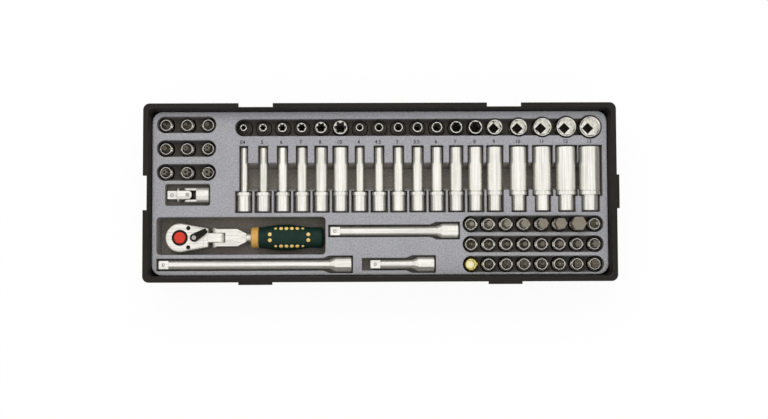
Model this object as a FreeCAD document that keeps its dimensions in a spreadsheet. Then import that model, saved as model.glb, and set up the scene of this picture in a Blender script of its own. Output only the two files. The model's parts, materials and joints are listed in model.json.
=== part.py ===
"""Socket wrench set in its open tray: a flex-head ratchet, a universal joint, extension bars,
short and deep sockets and bit sockets, each lying or standing in a moulded insert.

Millimetres, +Z up. The origin is at the middle of the tray's base, with X along the tray and
the rows of sockets on the +Y side.
"""
import FreeCAD, Part
import math
import os
import re
import Sketcher

# Driving dimensions.
SIZES = {
    # tray
    "tray_wall": 2.0,
    "tray_floor": 2.0,
    "rim_height": 10.0,
    "rim_draft": 6.8,
    "flange_reach": 3.0,
    "flange_thickness": 3.0,
    "flange_corner": 5.0,
    "cavity_corner": 3.0,
    "tab_width": 26.0,
    "tab_reach": 2.0,
    "tab_thickness": 2.0,
    "tab_drop": 0.5,
    "tab_offset": 96.0,
    "tab_clearance": 0.3,
    # insert and its pockets
    "insert_gap": 0.3,
    "insert_floor": 4.7,
    "insert_corner": 8.0,
    "insert_edge": 1.2,
    "insert_pocket_corner": 3.0,
    "rest_gap": 0.3,
    "tool_room": 0.9,
    "bar_room": 1.3,
    "joint_bed_corner": 2.0,
    "end_room": 1.2,
    "pocket_draft": 1.5,
    "channel_depth": 8.0,
    "channel_draft": 12.0,
    "trough_depth": 17.0,
    "trough_width": 22.0,
    # layout on the insert
    "edge_margin": 3.5,
    "front_margin": 1.4,
    "group_gap": 14.6,
    "socket_web": 1.45,
    "large_web": 0.4,
    "label_band": 5.0,
    "row_gap": 2.6,
    "bit_web": 0.6,
    "bit_row_web": 2.4,
    "side_bit_web": 3.3,
    "side_row_web": 5.4,
    "joint_gap": 2.4,
    "joint_inset": 6.6,
    "bar_gap": 7.3,
    "bar_wall": 2.0,
    "bar_spacing": 7.0,
    "bar_finger_room": 5.0,
    "ratchet_wall": 0.8,
    "ratchet_lean": 1.2,
    "bit_sink": 3.0,
    "short_stand": 2.0,
    "tool_sink": 5.0,
    "ratchet_sink": 10.0,
    # square drive
    "drive_square": 6.35,
    "drive_clearance": 0.12,
    "drive_depth": 10.5,
    "drive_length": 8.0,
    "drive_bevel": 0.6,
    "ball_diameter": 2.4,
    "ball_stand": 0.5,
    "running_clearance": 0.05,
    # sockets
    "short_length": 25.0,
    "deep_length": 50.0,
    "socket_wall": 0.7,
    "socket_bore_share": 0.7,
    "socket_drive_diameter": 10.2,
    "socket_drive_share": 0.78,
    "socket_drive_length": 12.4,
    "socket_collar_diameter": 11.8,
    "socket_collar_length": 2.5,
    "socket_collar_stand": 0.25,
    "socket_neck_length": 1.0,
    "socket_neck_depth": 0.4,
    "socket_edge": 0.4,
    "mouth_clearance": 0.1,
    "hex_4": 4.0,
    "hex_4_5": 4.5,
    "hex_5": 5.0,
    "hex_5_5": 5.5,
    "hex_6": 6.0,
    "hex_7": 7.0,
    "hex_8": 8.0,
    "hex_9": 9.0,
    "hex_10": 10.0,
    "hex_11": 11.0,
    "hex_12": 12.0,
    "hex_13": 13.0,
    "star_e4": 3.86,
    "star_e5": 4.73,
    "star_e6": 5.74,
    "star_e7": 6.16,
    "star_e8": 7.52,
    "star_e10": 9.42,
    # bit sockets
    "bit_body_diameter": 10.8,
    "bit_body_length": 25.0,
    "bit_body_bevel": 1.2,
    "bit_room": 1.2,
    "bit_bore_depth": 13.0,
    "bit_shank": 6.35,
    "bit_clearance": 0.1,
    "bit_reach": 12.0,
    "bit_short_reach": 7.0,
    "bit_neck_length": 2.5,
    "bit_flute_length": 4.0,
    "bit_blade": 1.1,
    "security_hole": 0.3,
    "adapter_depth": 8.0,
    "magnet_thickness": 2.0,
    # extension bars
    "bar_short": 50.0,
    "bar_medium": 100.0,
    "bar_long": 150.0,
    "bar_diameter": 7.2,
    "bar_end_diameter": 12.0,
    "bar_end_length": 12.5,
    "bar_cone_length": 4.7,
    # universal joint
    "joint_diameter": 12.0,
    "joint_jaw": 7.2,
    "joint_ear_width": 6.4,
    "joint_ear_end": 3.2,
    "joint_throat": 6.7,
    "joint_hub": 1.6,
    "joint_web": 1.2,
    "joint_socket_depth": 8.5,
    "joint_pin_diameter": 3.0,
    "joint_block_gap": 0.3,
    "joint_swing_room": 2.5,
    "joint_relief": 1.0,
    # ratchet head
    "head_radius": 11.4,
    "head_thickness": 11.0,
    "head_floor": 1.8,
    "head_neck_end": 22.0,
    "head_neck_width": 14.8,
    "head_edge": 1.2,
    "head_room": 6.1,
    "head_side_room": 3.3,
    "drive_swing": 3.4,
    "cover_radius": 10.6,
    "cover_end": 18.5,
    "cover_end_width": 13.4,
    "cover_thickness": 1.6,
    "cover_clearance": 0.1,
    "screw_diameter": 3.2,
    "screw_shank": 1.4,
    "screw_length": 4.5,
    "screw_head": 0.9,
    "screw_slot": 0.4,
    "screw_place": 6.6,
    "screw_spread": 15.0,
    # ratchet mechanism
    "gear_diameter": 16.4,
    "tooth_depth": 0.8,
    "gear_gap": 0.3,
    "upper_journal": 12.4,
    "lower_journal": 11.2,
    "button_diameter": 9.0,
    "button_height": 3.1,
    "button_stand": 0.7,
    "button_travel": 2.0,
    "button_stem": 2.2,
    "button_waist": 1.2,
    "button_waist_length": 3.4,
    "ball_drop": 4.0,
    "stem_floor": 1.5,
    "spring_wire": 0.5,
    "spring_coil": 6.8,
    "lever_place": 11.4,
    "lever_shaft": 3.0,
    "lever_hub": 6.4,
    "lever_reach": 11.4,
    "lever_tip": 3.8,
    "lever_cap": 3.4,
    "lever_thickness": 2.2,
    "lever_angle": 30.6,
    "lever_foot": 0.8,
    "lever_rib": 0.7,
    "pawl_rock": 6.0,
    "pawl_hub": 5.2,
    "pawl_tip_gap": 0.25,
    "pawl_wedge": 1.0,
    "pawl_wedge_angle": 4.3,
    "pawl_inner_width": 2.4,
    "pawl_back_width": 3.2,
    "pawl_room": 0.4,
    "pawl_chamber_start": 5.0,
    "pawl_chamber_width": 13.2,
    "pawl_spring_length": 4.6,
    "pawl_spring_coil": 1.6,
    "pawl_spring_wire": 0.4,
    # flex joint and handle
    "flex_place": 30.0,
    "tongue_width": 7.0,
    "tongue_height": 9.4,
    "fork_width": 15.4,
    "fork_waist": 13.4,
    "fork_lip": 2.0,
    "fork_height": 10.4,
    "fork_slot_room": 0.3,
    "fork_slot_end": 5.4,
    "fork_shoulder": 14.7,
    "fork_end": 21.6,
    "flex_pin_diameter": 3.4,
    "flex_ball_diameter": 2.8,
    "flex_spring_length": 4.0,
    "shank_diameter": 6.2,
    "ferrule_place": 55.4,
    "ferrule_diameter": 16.4,
    "ferrule_length": 6.0,
    "ferrule_bevel": 0.8,
    "grip_length": 50.2,
    "grip_start_diameter": 15.8,
    "grip_diameter": 20.4,
    "grip_bulge_start": 15.0,
    "grip_bulge_end": 26.0,
    "grip_waist_diameter": 15.6,
    "grip_waist_place": 39.5,
    "grip_end_diameter": 16.8,
    "grip_blend": 40.0,
    "grip_edge": 2.5,
    "tang_length": 40.0,
    "handle_end_room": 2.1,
}

HEX_SIZES = ["hex_4", "hex_4_5", "hex_5", "hex_5_5", "hex_6", "hex_7",
             "hex_8", "hex_9", "hex_10", "hex_11", "hex_12", "hex_13"]
STAR_SIZES = ["star_e4", "star_e5", "star_e6", "star_e7", "star_e8", "star_e10"]
COLUMNS = STAR_SIZES + HEX_SIZES
LARGE_COLUMNS = 4
SIDE_COLUMNS = 3
SIDE_ROWS = 3
BIT_COLUMNS = 8
BIT_ROWS = 3
GEAR_TEETH = 36
BUTTON_TURNS = 2
PAWL_TURNS = 5
FLEX_TURNS = 4
COIL_ARC = 0.25
LEVER_RIBS = 3
BOTH_SIDES = (-1, 1)

# Half the width of a gap between the drive's teeth, and the place of the pawl's tips from the
# head's middle line, both as shares of one tooth's angle.
TOOTH_GAP = 0.42
PAWL_PLACE = 3.5

# Tip sizes of the bits, across the flats, points, flutes or blade.
BIT_TIPS = {
    "hex_tip": [3.0, 4.0, 5.0, 6.0, 7.0, 8.0, 10.0, 2.5],
    "star_tip": [2.3, 2.7, 3.3, 3.9, 4.4, 5.0, 5.5, 6.6],
    "security_tip": [2.3, 2.7, 3.3, 3.9, 4.4, 5.0, 5.5, 6.0, 6.6],
    "cross_tip": [4.2, 5.4, 6.2, 5.0],
    "blade_tip": [4.0, 5.5, 6.3],
}
for tip_kind, tip_sizes in BIT_TIPS.items():
    SIZES.update({f"{tip_kind}_{number}": size for number, size in enumerate(tip_sizes, 1)})

# A six-lobed star of point diameter 1: its root radius, and its lobes' place and radius.
STAR_ROOT = 0.36
STAR_LOBE_PLACE = 0.385
STAR_LOBE = 0.115

# Radius of a cross tip's blunt point as a share of the tip's size.
CROSS_POINT = 0.17


def nose_diameter(size):
    """Outside diameter of a socket's nose, from the size of its mouth."""
    across = f"{size} * 2 / sqrt(3)" if size.startswith("hex") else size
    return f"({across} + 2 * socket_wall)"


def widest_diameter(size):
    """Largest diameter of a socket, at its collar or its nose."""
    return f"max(socket_collar_diameter; {nose_diameter(size)} + 2 * socket_collar_stand)"


def drive_diameter(size):
    """Outside diameter of a socket's drive end, which grows with a large nose."""
    return f"max(socket_drive_diameter; socket_drive_share * {nose_diameter(size)})"


# Lengths and places worked out from the driving dimensions.
LAYOUT = {
    "bit_hole": "bit_body_diameter + 2 * bit_room",
    "small_pocket": "socket_collar_diameter + 2 * tool_room",
    "large_pocket": f"{nose_diameter(COLUMNS[-1])} + 2 * tool_room",
    "small_pitch": "small_pocket + socket_web",
    "large_pitch": "large_pocket + large_web",
    "deep_pocket": "deep_length + 2 * end_room",
    "side_width": f"{SIDE_COLUMNS} * bit_hole + {SIDE_COLUMNS - 1} * side_bit_web",
    "sockets_width": f"{len(COLUMNS) - 1 - LARGE_COLUMNS} * small_pitch"
                     f" + {LARGE_COLUMNS} * large_pitch + small_pocket / 2 + large_pocket / 2",
    "bits_width": f"{BIT_COLUMNS} * bit_hole + {BIT_COLUMNS - 1} * bit_web",
    "bar_pocket": "bar_end_diameter + 2 * tool_room",
    "ratchet_length": "head_radius + ferrule_place + ferrule_length + grip_length",
    "ratchet_pocket": "head_room + ratchet_length + handle_end_room",
    "ratchet_pocket_width": "2 * head_radius + 2 * head_side_room",
    "socket_row": "side_width + group_gap + sockets_width",
    "middle_row": "ratchet_pocket + bar_medium + 2 * end_room + 2 * bar_wall + bits_width",
    "front_row": "bar_long + bar_short + 4 * end_room + bar_spacing + bar_finger_room"
                 " + bar_wall + bits_width",
    "insert_length": "2 * edge_margin + max(socket_row; middle_row; front_row)",
    "insert_width": f"edge_margin + large_pocket + label_band + deep_pocket + row_gap"
                    f" + {BIT_ROWS} * bit_hole + {BIT_ROWS - 1} * bit_row_web + front_margin",
    "insert_top": "tray_floor + insert_floor + rest_gap + bit_body_length + bit_sink",
    "tray_height": "insert_top + rim_height",
    "cavity_length": "insert_length + 2 * insert_gap",
    "cavity_width": "insert_width + 2 * insert_gap",
    "wall_length": "cavity_length + 2 * tray_wall",
    "wall_width": "cavity_width + 2 * tray_wall",
    "tray_length": "wall_length + 2 * flange_reach",
    "tray_width": "wall_width + 2 * flange_reach",
    "left": "edge_margin - insert_length / 2",
    "right": "insert_length / 2 - edge_margin",
    "back": "insert_width / 2 - edge_margin",
    "front": "front_margin - insert_width / 2",
    "first_column": "left + side_width + group_gap + small_pocket / 2",
    "short_y": "back - large_pocket / 2",
    "deep_back": "back - large_pocket - label_band",
    "deep_front": "deep_back - deep_pocket",
    "deep_collar": "deep_front + socket_drive_length",
    "deep_shoulder": "deep_front + end_room + socket_drive_length + socket_collar_length"
                     " + socket_neck_length",
    "short_base": "insert_top + short_stand - short_length",
    "tool_axis": "insert_top - tool_sink",
    "bit_base": "insert_top - bit_sink - bit_body_length",
    "first_side": "left + bit_hole / 2",
    "first_side_row": "back - bit_hole / 2",
    "first_bit": "right - bits_width + bit_hole / 2",
    "first_bit_row": "deep_front - row_gap - bit_hole / 2",
    "front_bar_y": "front + bar_pocket / 2",
    "middle_bar_y": "deep_front - bar_gap - bar_pocket / 2",
    "long_bar_x": "left + end_room",
    "short_bar_x": "left + bar_long + 3 * end_room + bar_spacing + bar_finger_room",
    "medium_bar_x": "left + ratchet_pocket + bar_wall + end_room",
    "ratchet_x": "left + head_room + head_radius",
    "ratchet_bed_y": "front + bar_pocket + ratchet_wall + ratchet_pocket_width / 2",
    "ratchet_y": "ratchet_bed_y - ratchet_lean",
    "ratchet_axis": "insert_top - ratchet_sink",
    "ratchet_floor": "ratchet_axis - max(head_top; grip_diameter / 2) - rest_gap",
    "joint_tail": "joint_throat + joint_hub + drive_length",
    "joint_reach": "joint_throat + joint_web + joint_socket_depth",
    "joint_pocket_width": "joint_diameter + 2 * joint_swing_room",
    "joint_x": "left + joint_inset + end_room + joint_tail",
    "joint_y": f"back - {SIDE_ROWS} * bit_hole - {SIDE_ROWS - 1} * side_row_web"
               f" - joint_gap - joint_pocket_width / 2",
    "head_top": "head_thickness / 2",
    "cover_base": "head_top - cover_thickness",
    "gear_base": "head_floor - head_top + gear_gap",
    "gear_top": "cover_base - gear_gap",
    "button_seat": "head_top + button_stand - button_height",
    "ball_level": "-head_top - ball_drop",
    "ball_place": "drive_square / 2 + ball_stand - ball_diameter / 2",
    "tooth_angle": f"360 / {GEAR_TEETH}",
    "pawl_angle": f"{PAWL_PLACE} * tooth_angle",
    "pawl_tip": "gear_diameter / 2 - tooth_depth + pawl_tip_gap",
    "lever_base": "head_top + rest_gap",
    "fork_slot": "flex_place + fork_slot_end",
    "grip_place": "ferrule_place + ferrule_length",
}

doc = FreeCAD.newDocument("socket_set")
sheet = doc.addObject("Spreadsheet::Sheet", "sizes")
layout = doc.addObject("App::VarSet", "layout")
PARTS = []


def formula(text):
    """Write each size name in the text as a cell of the sheet or a value of the layout."""
    def cell(match):
        name = match[0]
        if name in SIZES:
            return "sizes." + name
        return "layout." + name if name in LAYOUT else name
    return re.sub(r"[a-z_][a-z_0-9]*", cell, str(text))


def fill_sizes():
    """Put the driving dimensions on the sheet and bind the layout to them."""
    for row, (name, size) in enumerate(SIZES.items(), 1):
        sheet.set(f"A{row}", name)
        sheet.set(f"B{row}", str(size))
        sheet.setAlias(f"B{row}", name)
    doc.recompute()
    for name, text in LAYOUT.items():
        layout.addProperty("App::PropertyFloat", name)
        layout.setExpression(name, formula(text).replace("layout.", ""))
    doc.recompute()


def value(text):
    """Return the present value of a formula, to draw a sketch near its solution."""
    return float(sheet.evalExpression(formula(text)))


def new_body(label):
    """Start a body whose label names the piece."""
    body = doc.addObject("PartDesign::Body", label)
    body.Label = label
    return body


def origin_feature(body, role):
    """Return one of the body's own planes or axes."""
    return next(feature for feature in body.Origin.OriginFeatures if feature.Role == role)


def new_sketch(body, plane="XY_Plane", offset="0"):
    """Start a sketch on one of the body's planes, moved along the plane's normal."""
    sketch = body.newObject("Sketcher::SketchObject", "outline")
    sketch.AttachmentSupport = [(origin_feature(body, plane), "")]
    sketch.MapMode = "FlatFace"
    sketch.setExpression("AttachmentOffset.Base.z", formula(offset))
    return sketch


def bind_constraint(sketch, constraint, text):
    """Add a constraint and bind its value to a formula."""
    index = sketch.addConstraint(constraint)
    sketch.setExpression(f"Constraints[{index}]", formula(text))


def fix_point(sketch, geometry, point, x, y):
    """Hold a sketch point at the place that two formulas give."""
    spot = sketch.getPoint(geometry, point)
    bind_constraint(sketch, Sketcher.Constraint("DistanceX", -1, 1, geometry, point, spot.x), x)
    bind_constraint(sketch, Sketcher.Constraint("DistanceY", -1, 1, geometry, point, spot.y), y)


def vector(x, y):
    """Return the sketch point that two formulas give now."""
    return FreeCAD.Vector(value(x), value(y), 0)


def draw_polygon(sketch, points):
    """Draw a closed outline of straight lines through the given formulas."""
    spots = [vector(x, y) for x, y in points]
    lines = [sketch.addGeometry(Part.LineSegment(start, end))
             for start, end in zip(spots, spots[1:] + spots[:1])]
    for line, following in zip(lines, lines[1:] + lines[:1]):
        sketch.addConstraint(Sketcher.Constraint("Coincident", line, 2, following, 1))
    for line, (x, y) in zip(lines, points):
        fix_point(sketch, line, 1, x, y)


def draw_box(sketch, left, front, right, back):
    """Draw a rectangle between four formulas."""
    draw_polygon(sketch, [(left, front), (right, front), (right, back), (left, back)])


def draw_circle(sketch, radius, x="0", y="0"):
    """Draw a circle."""
    circle = Part.Circle(vector(x, y), FreeCAD.Vector(0, 0, 1), value(radius))
    geometry = sketch.addGeometry(circle)
    fix_point(sketch, geometry, 3, x, y)
    bind_constraint(sketch, Sketcher.Constraint("Radius", geometry, value(radius)), radius)


def draw_regular(sketch, corners, radius, turn=0):
    """Draw a regular polygon from its corner radius, its first corner turned by some degrees."""
    angles = [turn + 360 / corners * corner for corner in range(corners)]
    draw_polygon(sketch, [(f"{radius} * cos({a}deg)", f"{radius} * sin({a}deg)") for a in angles])


def draw_hexagon(sketch, across):
    """Draw a hexagon from its width across the flats."""
    draw_regular(sketch, 6, f"({across}) / sqrt(3)")


def draw_square(sketch, side, turn=45):
    """Draw a square from its side, standing on its flats or turned on a corner."""
    draw_regular(sketch, 4, f"({side}) / sqrt(2)", turn)


def draw_arc(sketch, radius, x, y, start, end):
    """Draw an arc of fixed centre and radius between two angles in degrees."""
    circle = Part.Circle(vector(x, y), FreeCAD.Vector(0, 0, 1), value(radius))
    arc = sketch.addGeometry(Part.ArcOfCircle(circle, math.radians(start), math.radians(end)))
    fix_point(sketch, arc, 3, x, y)
    bind_constraint(sketch, Sketcher.Constraint("Radius", arc, value(radius)), radius)
    return arc


def draw_path(sketch, arc, points):
    """Close an outline from the end of an arc through the given points to its start."""
    spots = [vector(x, y) for x, y in points]
    stops = [sketch.getPoint(arc, 2)] + spots + [sketch.getPoint(arc, 1)]
    lines = [sketch.addGeometry(Part.LineSegment(start, end)) for start, end in zip(stops, stops[1:])]
    for line, following, (x, y) in zip(lines, lines[1:], points):
        sketch.addConstraint(Sketcher.Constraint("Coincident", line, 2, following, 1))
        fix_point(sketch, line, 2, x, y)
    return lines


def draw_rounded_box(sketch, length, width, corner, x="0", y="0"):
    """Draw a rectangle with round corners about a centre."""
    arcs = []
    for quarter, (right, back) in enumerate([(1, 1), (-1, 1), (-1, -1), (1, -1)]):
        place_x = f"{x} + {right} * (({length}) / 2 - {corner})"
        place_y = f"{y} + {back} * (({width}) / 2 - {corner})"
        arcs.append(draw_arc(sketch, corner, place_x, place_y, 90 * quarter, 90 * quarter + 90))
    for arc, following in zip(arcs, arcs[1:] + arcs[:1]):
        side = Part.LineSegment(sketch.getPoint(arc, 2), sketch.getPoint(following, 1))
        line = sketch.addGeometry(side)
        sketch.addConstraint(Sketcher.Constraint("Tangent", arc, 2, line, 1))
        sketch.addConstraint(Sketcher.Constraint("Tangent", line, 2, following, 1))


def draw_pear(sketch, radius, end, width):
    """Draw a round head whose sides run straight from it to a narrower flat end."""
    corner = vector(end, f"({width}) / 2")
    spread = math.atan2(corner.y, corner.x) + math.acos(value(radius) / corner.Length)
    degrees = math.degrees(spread)
    arc = draw_arc(sketch, radius, "0", "0", degrees, 360 - degrees)
    lines = draw_path(sketch, arc, [(end, f"-({width}) / 2"), (end, f"({width}) / 2")])
    sketch.addConstraint(Sketcher.Constraint("Tangent", arc, 2, lines[0], 1))
    sketch.addConstraint(Sketcher.Constraint("Tangent", lines[-1], 2, arc, 1))


def draw_tongue(sketch, start, end, height):
    """Draw a bar between two places along the sketch, its far end a half circle."""
    arc = draw_arc(sketch, f"({height}) / 2", end, "0", -90, 90)
    lines = draw_path(sketch, arc, [(start, f"({height}) / 2"), (start, f"-({height}) / 2")])
    sketch.addConstraint(Sketcher.Constraint("Tangent", arc, 2, lines[0], 1))
    sketch.addConstraint(Sketcher.Constraint("Tangent", lines[-1], 2, arc, 1))


def pad(body, sketch, length, both_ways=False, backward=False):
    """Raise a sketch along its normal, against it, or half each way."""
    feature = body.newObject("PartDesign::Pad", "pad")
    feature.Profile = sketch
    feature.setExpression("Length", formula(length))
    feature.Reversed = backward
    feature.Midplane = both_ways
    return feature


def pocket(body, sketch, depth, both_ways=False, along_normal=False, draft=None):
    """Cut a sketch against its normal, along it, or half each way, with walls that may slope."""
    feature = body.newObject("PartDesign::Pocket", "pocket")
    feature.Profile = sketch
    feature.setExpression("Length", formula(depth))
    feature.Reversed = along_normal
    feature.Midplane = both_ways
    if draft:
        feature.setExpression("TaperAngle", formula(f"-{draft}"))
    return feature


def revolve(body, points, axis="V_Axis"):
    """Turn a half section about the body's Z axis, or about X with the H axis."""
    sketch = new_sketch(body, "XZ_Plane")
    draw_polygon(sketch, points)
    feature = body.newObject("PartDesign::Revolution", "revolution")
    feature.Profile = sketch
    feature.ReferenceAxis = (sketch, [axis])
    feature.Angle = 360
    return feature


def polar(body, feature, count):
    """Repeat a feature round the body's Z axis."""
    pattern = body.newObject("PartDesign::PolarPattern", "pattern")
    pattern.Originals = [feature]
    pattern.Axis = (origin_feature(body, "Z_Axis"), [""])
    pattern.Angle = 360
    pattern.Occurrences = count
    body.Tip = pattern


def dress(body, kind, edges, size, size_name):
    """Fillet or chamfer the edges of the body's last feature that a test picks out."""
    doc.recompute()
    base = body.Tip
    names = [f"Edge{number}" for number, edge in enumerate(base.Shape.Edges, 1) if edges(edge)]
    feature = body.newObject(kind, "edge")
    feature.Base = (base, names)
    feature.setExpression(size_name, formula(size))
    return feature


def fillet(body, edges, radius):
    """Round the chosen edges."""
    return dress(body, "PartDesign::Fillet", edges, radius, "Radius")


def chamfer(body, edges, size):
    """Bevel the chosen edges."""
    return dress(body, "PartDesign::Chamfer", edges, size, "Size")


def flat_at(axis, *levels):
    """Return a test for edges that lie wholly at one of the levels along an axis."""
    places = [value(level) for level in levels]

    def chosen(edge):
        low = getattr(edge.BoundBox, axis + "Min")
        high = getattr(edge.BoundBox, axis + "Max")
        return any(abs(low - place) < 0.01 and abs(high - place) < 0.01 for place in places)
    return chosen


def place(piece, x, y, z, axis=(0, 0, 1), turn=0):
    """Turn a piece and put its own origin at the place that three formulas give."""
    piece.Placement = FreeCAD.Placement(FreeCAD.Vector(), FreeCAD.Rotation(FreeCAD.Vector(*axis), turn))
    for direction, text in zip("xyz", (x, y, z)):
        piece.setExpression(f"Placement.Base.{direction}", formula(text))
    return piece


def group(label, pieces):
    """Gather separate solids that are one named sub-part."""
    compound = doc.addObject("Part::Compound", label)
    compound.Label = label
    compound.Links = pieces
    return compound


def keep(piece):
    """List a finished sub-part for export."""
    PARTS.append(piece)
    return piece


def ball(diameter, x, y, z):
    """Make a detent ball."""
    sphere = doc.addObject("Part::Sphere", "ball")
    sphere.setExpression("Radius", formula(f"({diameter}) / 2"))
    return place(sphere, x, y, z)


def rod(diameter, length, x, y, z, axis=(0, 0, 1), turn=0):
    """Make a plain pin that starts at the given place."""
    cylinder = doc.addObject("Part::Cylinder", "rod")
    cylinder.setExpression("Radius", formula(f"({diameter}) / 2"))
    cylinder.setExpression("Height", formula(length))
    return place(cylinder, x, y, z, axis, turn)


def coil_spring(label, coil, wire, length, turns):
    """Sweep a round wire along a helix, arc by arc, whose ends stay inside the given length."""
    helix = doc.addObject("Part::Helix", label + "_path")
    helix.SegmentLength = COIL_ARC
    helix.setExpression("Radius", formula(f"({coil}) / 2"))
    helix.setExpression("Height", formula(f"({length}) - {wire}"))
    helix.setExpression("Pitch", formula(f"(({length}) - {wire}) / {turns}"))
    section = doc.addObject("Part::Circle", label + "_wire")
    section.setExpression("Radius", formula(f"{wire} / 2"))
    place(section, f"({coil}) / 2", "0", "0", (1, 0, 0), 90)
    sweep = doc.addObject("Part::Sweep", label)
    sweep.Sections = [section]
    sweep.Spine = (helix, [f"Edge{arc + 1}" for arc in range(round(turns / COIL_ARC))])
    sweep.Solid = True
    sweep.Frenet = True
    return sweep


def column_x(column):
    """Return the place of a socket column along the tray."""
    small = min(column, len(COLUMNS) - 1 - LARGE_COLUMNS)
    return f"first_column + {small} * small_pitch + {column - small} * large_pitch"


def make_tray():
    """Make the tray: a thin box with a flange, notches on two sides and tabs on the others."""
    body = new_body("tray_shell")
    sketch = new_sketch(body)
    draw_rounded_box(sketch, "wall_length", "wall_width", "(cavity_corner + tray_wall)")
    pad(body, sketch, "tray_height")
    sketch = new_sketch(body, offset="tray_height - flange_thickness")
    draw_rounded_box(sketch, "tray_length", "tray_width", "flange_corner")
    pad(body, sketch, "flange_thickness")
    sketch = new_sketch(body, offset="tray_height - tab_drop - tab_thickness")
    for side in BOTH_SIDES:
        draw_box(sketch, f"{side} * tab_offset - tab_width / 2", "-tray_width / 2 - tab_reach",
                 f"{side} * tab_offset + tab_width / 2", "-wall_width / 2 - tray_wall / 2")
    draw_box(sketch, "wall_length / 2 - tray_wall / 2", "-tab_width / 2",
             "tray_length / 2 + tab_reach", "tab_width / 2")
    pad(body, sketch, "tab_thickness")
    sketch = new_sketch(body, offset="tray_height")
    for side in BOTH_SIDES:
        draw_box(sketch, f"{side} * tab_offset - tab_width / 2 - tab_clearance", "wall_width / 2",
                 f"{side} * tab_offset + tab_width / 2 + tab_clearance", "tray_width / 2 + tab_reach")
    draw_box(sketch, "-tray_length / 2 - tab_reach", "-tab_width / 2 - tab_clearance",
             "-wall_length / 2", "tab_width / 2 + tab_clearance")
    pocket(body, sketch, "flange_thickness")
    sketch = new_sketch(body, offset="tray_height")
    draw_rounded_box(sketch, "cavity_length", "cavity_width", "cavity_corner")
    pocket(body, sketch, "tray_height - tray_floor")
    flare = "rim_height * tan(rim_draft * 1deg)"
    sketch = new_sketch(body, offset="tray_height")
    draw_rounded_box(sketch, f"cavity_length + 2 * {flare}", f"cavity_width + 2 * {flare}",
                     f"(cavity_corner + {flare})")
    pocket(body, sketch, "rim_height", draft="rim_draft")
    return keep(body)


def cut_holes(body, spots, floor):
    """Sink round holes of given places and radii from the top of the insert to a floor."""
    sketch = new_sketch(body, offset="insert_top")
    for x, y, radius in spots:
        draw_circle(sketch, radius, x, y)
    pocket(body, sketch, f"insert_top - ({floor})", draft="pocket_draft")


def cut_boxes(body, boxes, floor, draft="pocket_draft"):
    """Sink straight pockets, each between four formulas, from the top of the insert to a floor."""
    sketch = new_sketch(body, offset="insert_top")
    for box in boxes:
        draw_box(sketch, *box)
    pocket(body, sketch, f"insert_top - ({floor})", draft=draft)


def side_x(column):
    """Return the place along the tray of a column of the left bit group."""
    return f"first_side + {column} * (bit_hole + side_bit_web)"


def side_y(row):
    """Return the place across the tray of a row of the left bit group."""
    return f"first_side_row - {row} * (bit_hole + side_row_web)"


def bit_x(column):
    """Return the place along the tray of a column of the right bit group."""
    return f"first_bit + {column} * (bit_hole + bit_web)"


def bit_y(row):
    """Return the place across the tray of a row of the right bit group."""
    return f"first_bit_row - {row} * (bit_hole + bit_row_web)"


def row_channel(start, end, y, width):
    """Return the straight channel that joins the holes of one row."""
    return start, f"{y} - {width} / 2", end, f"{y} + {width} / 2"


def cut_standing_rows(body):
    """Sink the holes of the short sockets and bit sockets, joined by a channel along each row."""
    channels = [row_channel(column_x(0), column_x(len(COLUMNS) - 1), "short_y", "small_pocket")]
    holes = []
    for columns, rows, x_of, y_of in ((SIDE_COLUMNS, SIDE_ROWS, side_x, side_y),
                                      (BIT_COLUMNS, BIT_ROWS, bit_x, bit_y)):
        for row in range(rows):
            channels.append(row_channel(x_of(0), x_of(columns - 1), y_of(row), "bit_hole"))
            holes += [(x_of(column), y_of(row), "bit_hole / 2") for column in range(columns)]
    cut_boxes(body, channels, "insert_top - channel_depth", "channel_draft")
    cut_holes(body, holes, "bit_base - rest_gap")
    cut_holes(body, [(column_x(column), "short_y", f"{widest_diameter(size)} / 2 + tool_room")
                     for column, size in enumerate(COLUMNS)], "short_base - rest_gap")


def cut_deep_beds(body):
    """Sink the beds of the deep sockets' drive ends, and one finger trough across their noses."""
    middles = [column_x(column) for column in range(len(COLUMNS))]
    small = [(f"{x} - small_pocket / 2", "deep_front", f"{x} + small_pocket / 2", "deep_shoulder")
             for x in middles[:-LARGE_COLUMNS]]
    cut_boxes(body, small, f"tool_axis - {widest_diameter(COLUMNS[-LARGE_COLUMNS - 1])} / 2 - rest_gap")
    large = []
    for x, size in zip(middles[-LARGE_COLUMNS:], COLUMNS[-LARGE_COLUMNS:]):
        reach = f"({drive_diameter(size)} / 2 + tool_room)"
        large.append((f"{x} - {reach}", "deep_front", f"{x} + {reach}", "deep_shoulder"))
    cut_boxes(body, large, f"tool_axis - {drive_diameter(COLUMNS[-1])} / 2 - rest_gap")
    trough = ("first_column - tool_room", "deep_shoulder", f"{middles[-1]} + large_pocket / 2",
              "deep_shoulder + trough_width")
    cut_boxes(body, [trough], "insert_top - trough_depth", "channel_draft")


def nose_bed(column, size):
    """Return the space of a deep socket's nose bed, which in a large column takes the collar too."""
    large = column >= len(COLUMNS) - LARGE_COLUMNS
    diameter = widest_diameter(size) if large else nose_diameter(size)
    start = "deep_collar" if large else "deep_shoulder - socket_neck_length"
    floor = f"tool_axis - {diameter} / 2 - rest_gap"
    bed = doc.addObject("Part::Box", "nose_bed")
    bed.setExpression("Length", formula(f"{diameter} + 2 * tool_room"))
    bed.setExpression("Width", formula(f"deep_back - ({start})"))
    bed.setExpression("Height", formula(f"insert_top + rim_height - ({floor})"))
    return place(bed, f"{column_x(column)} - {diameter} / 2 - tool_room", start, floor)


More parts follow.
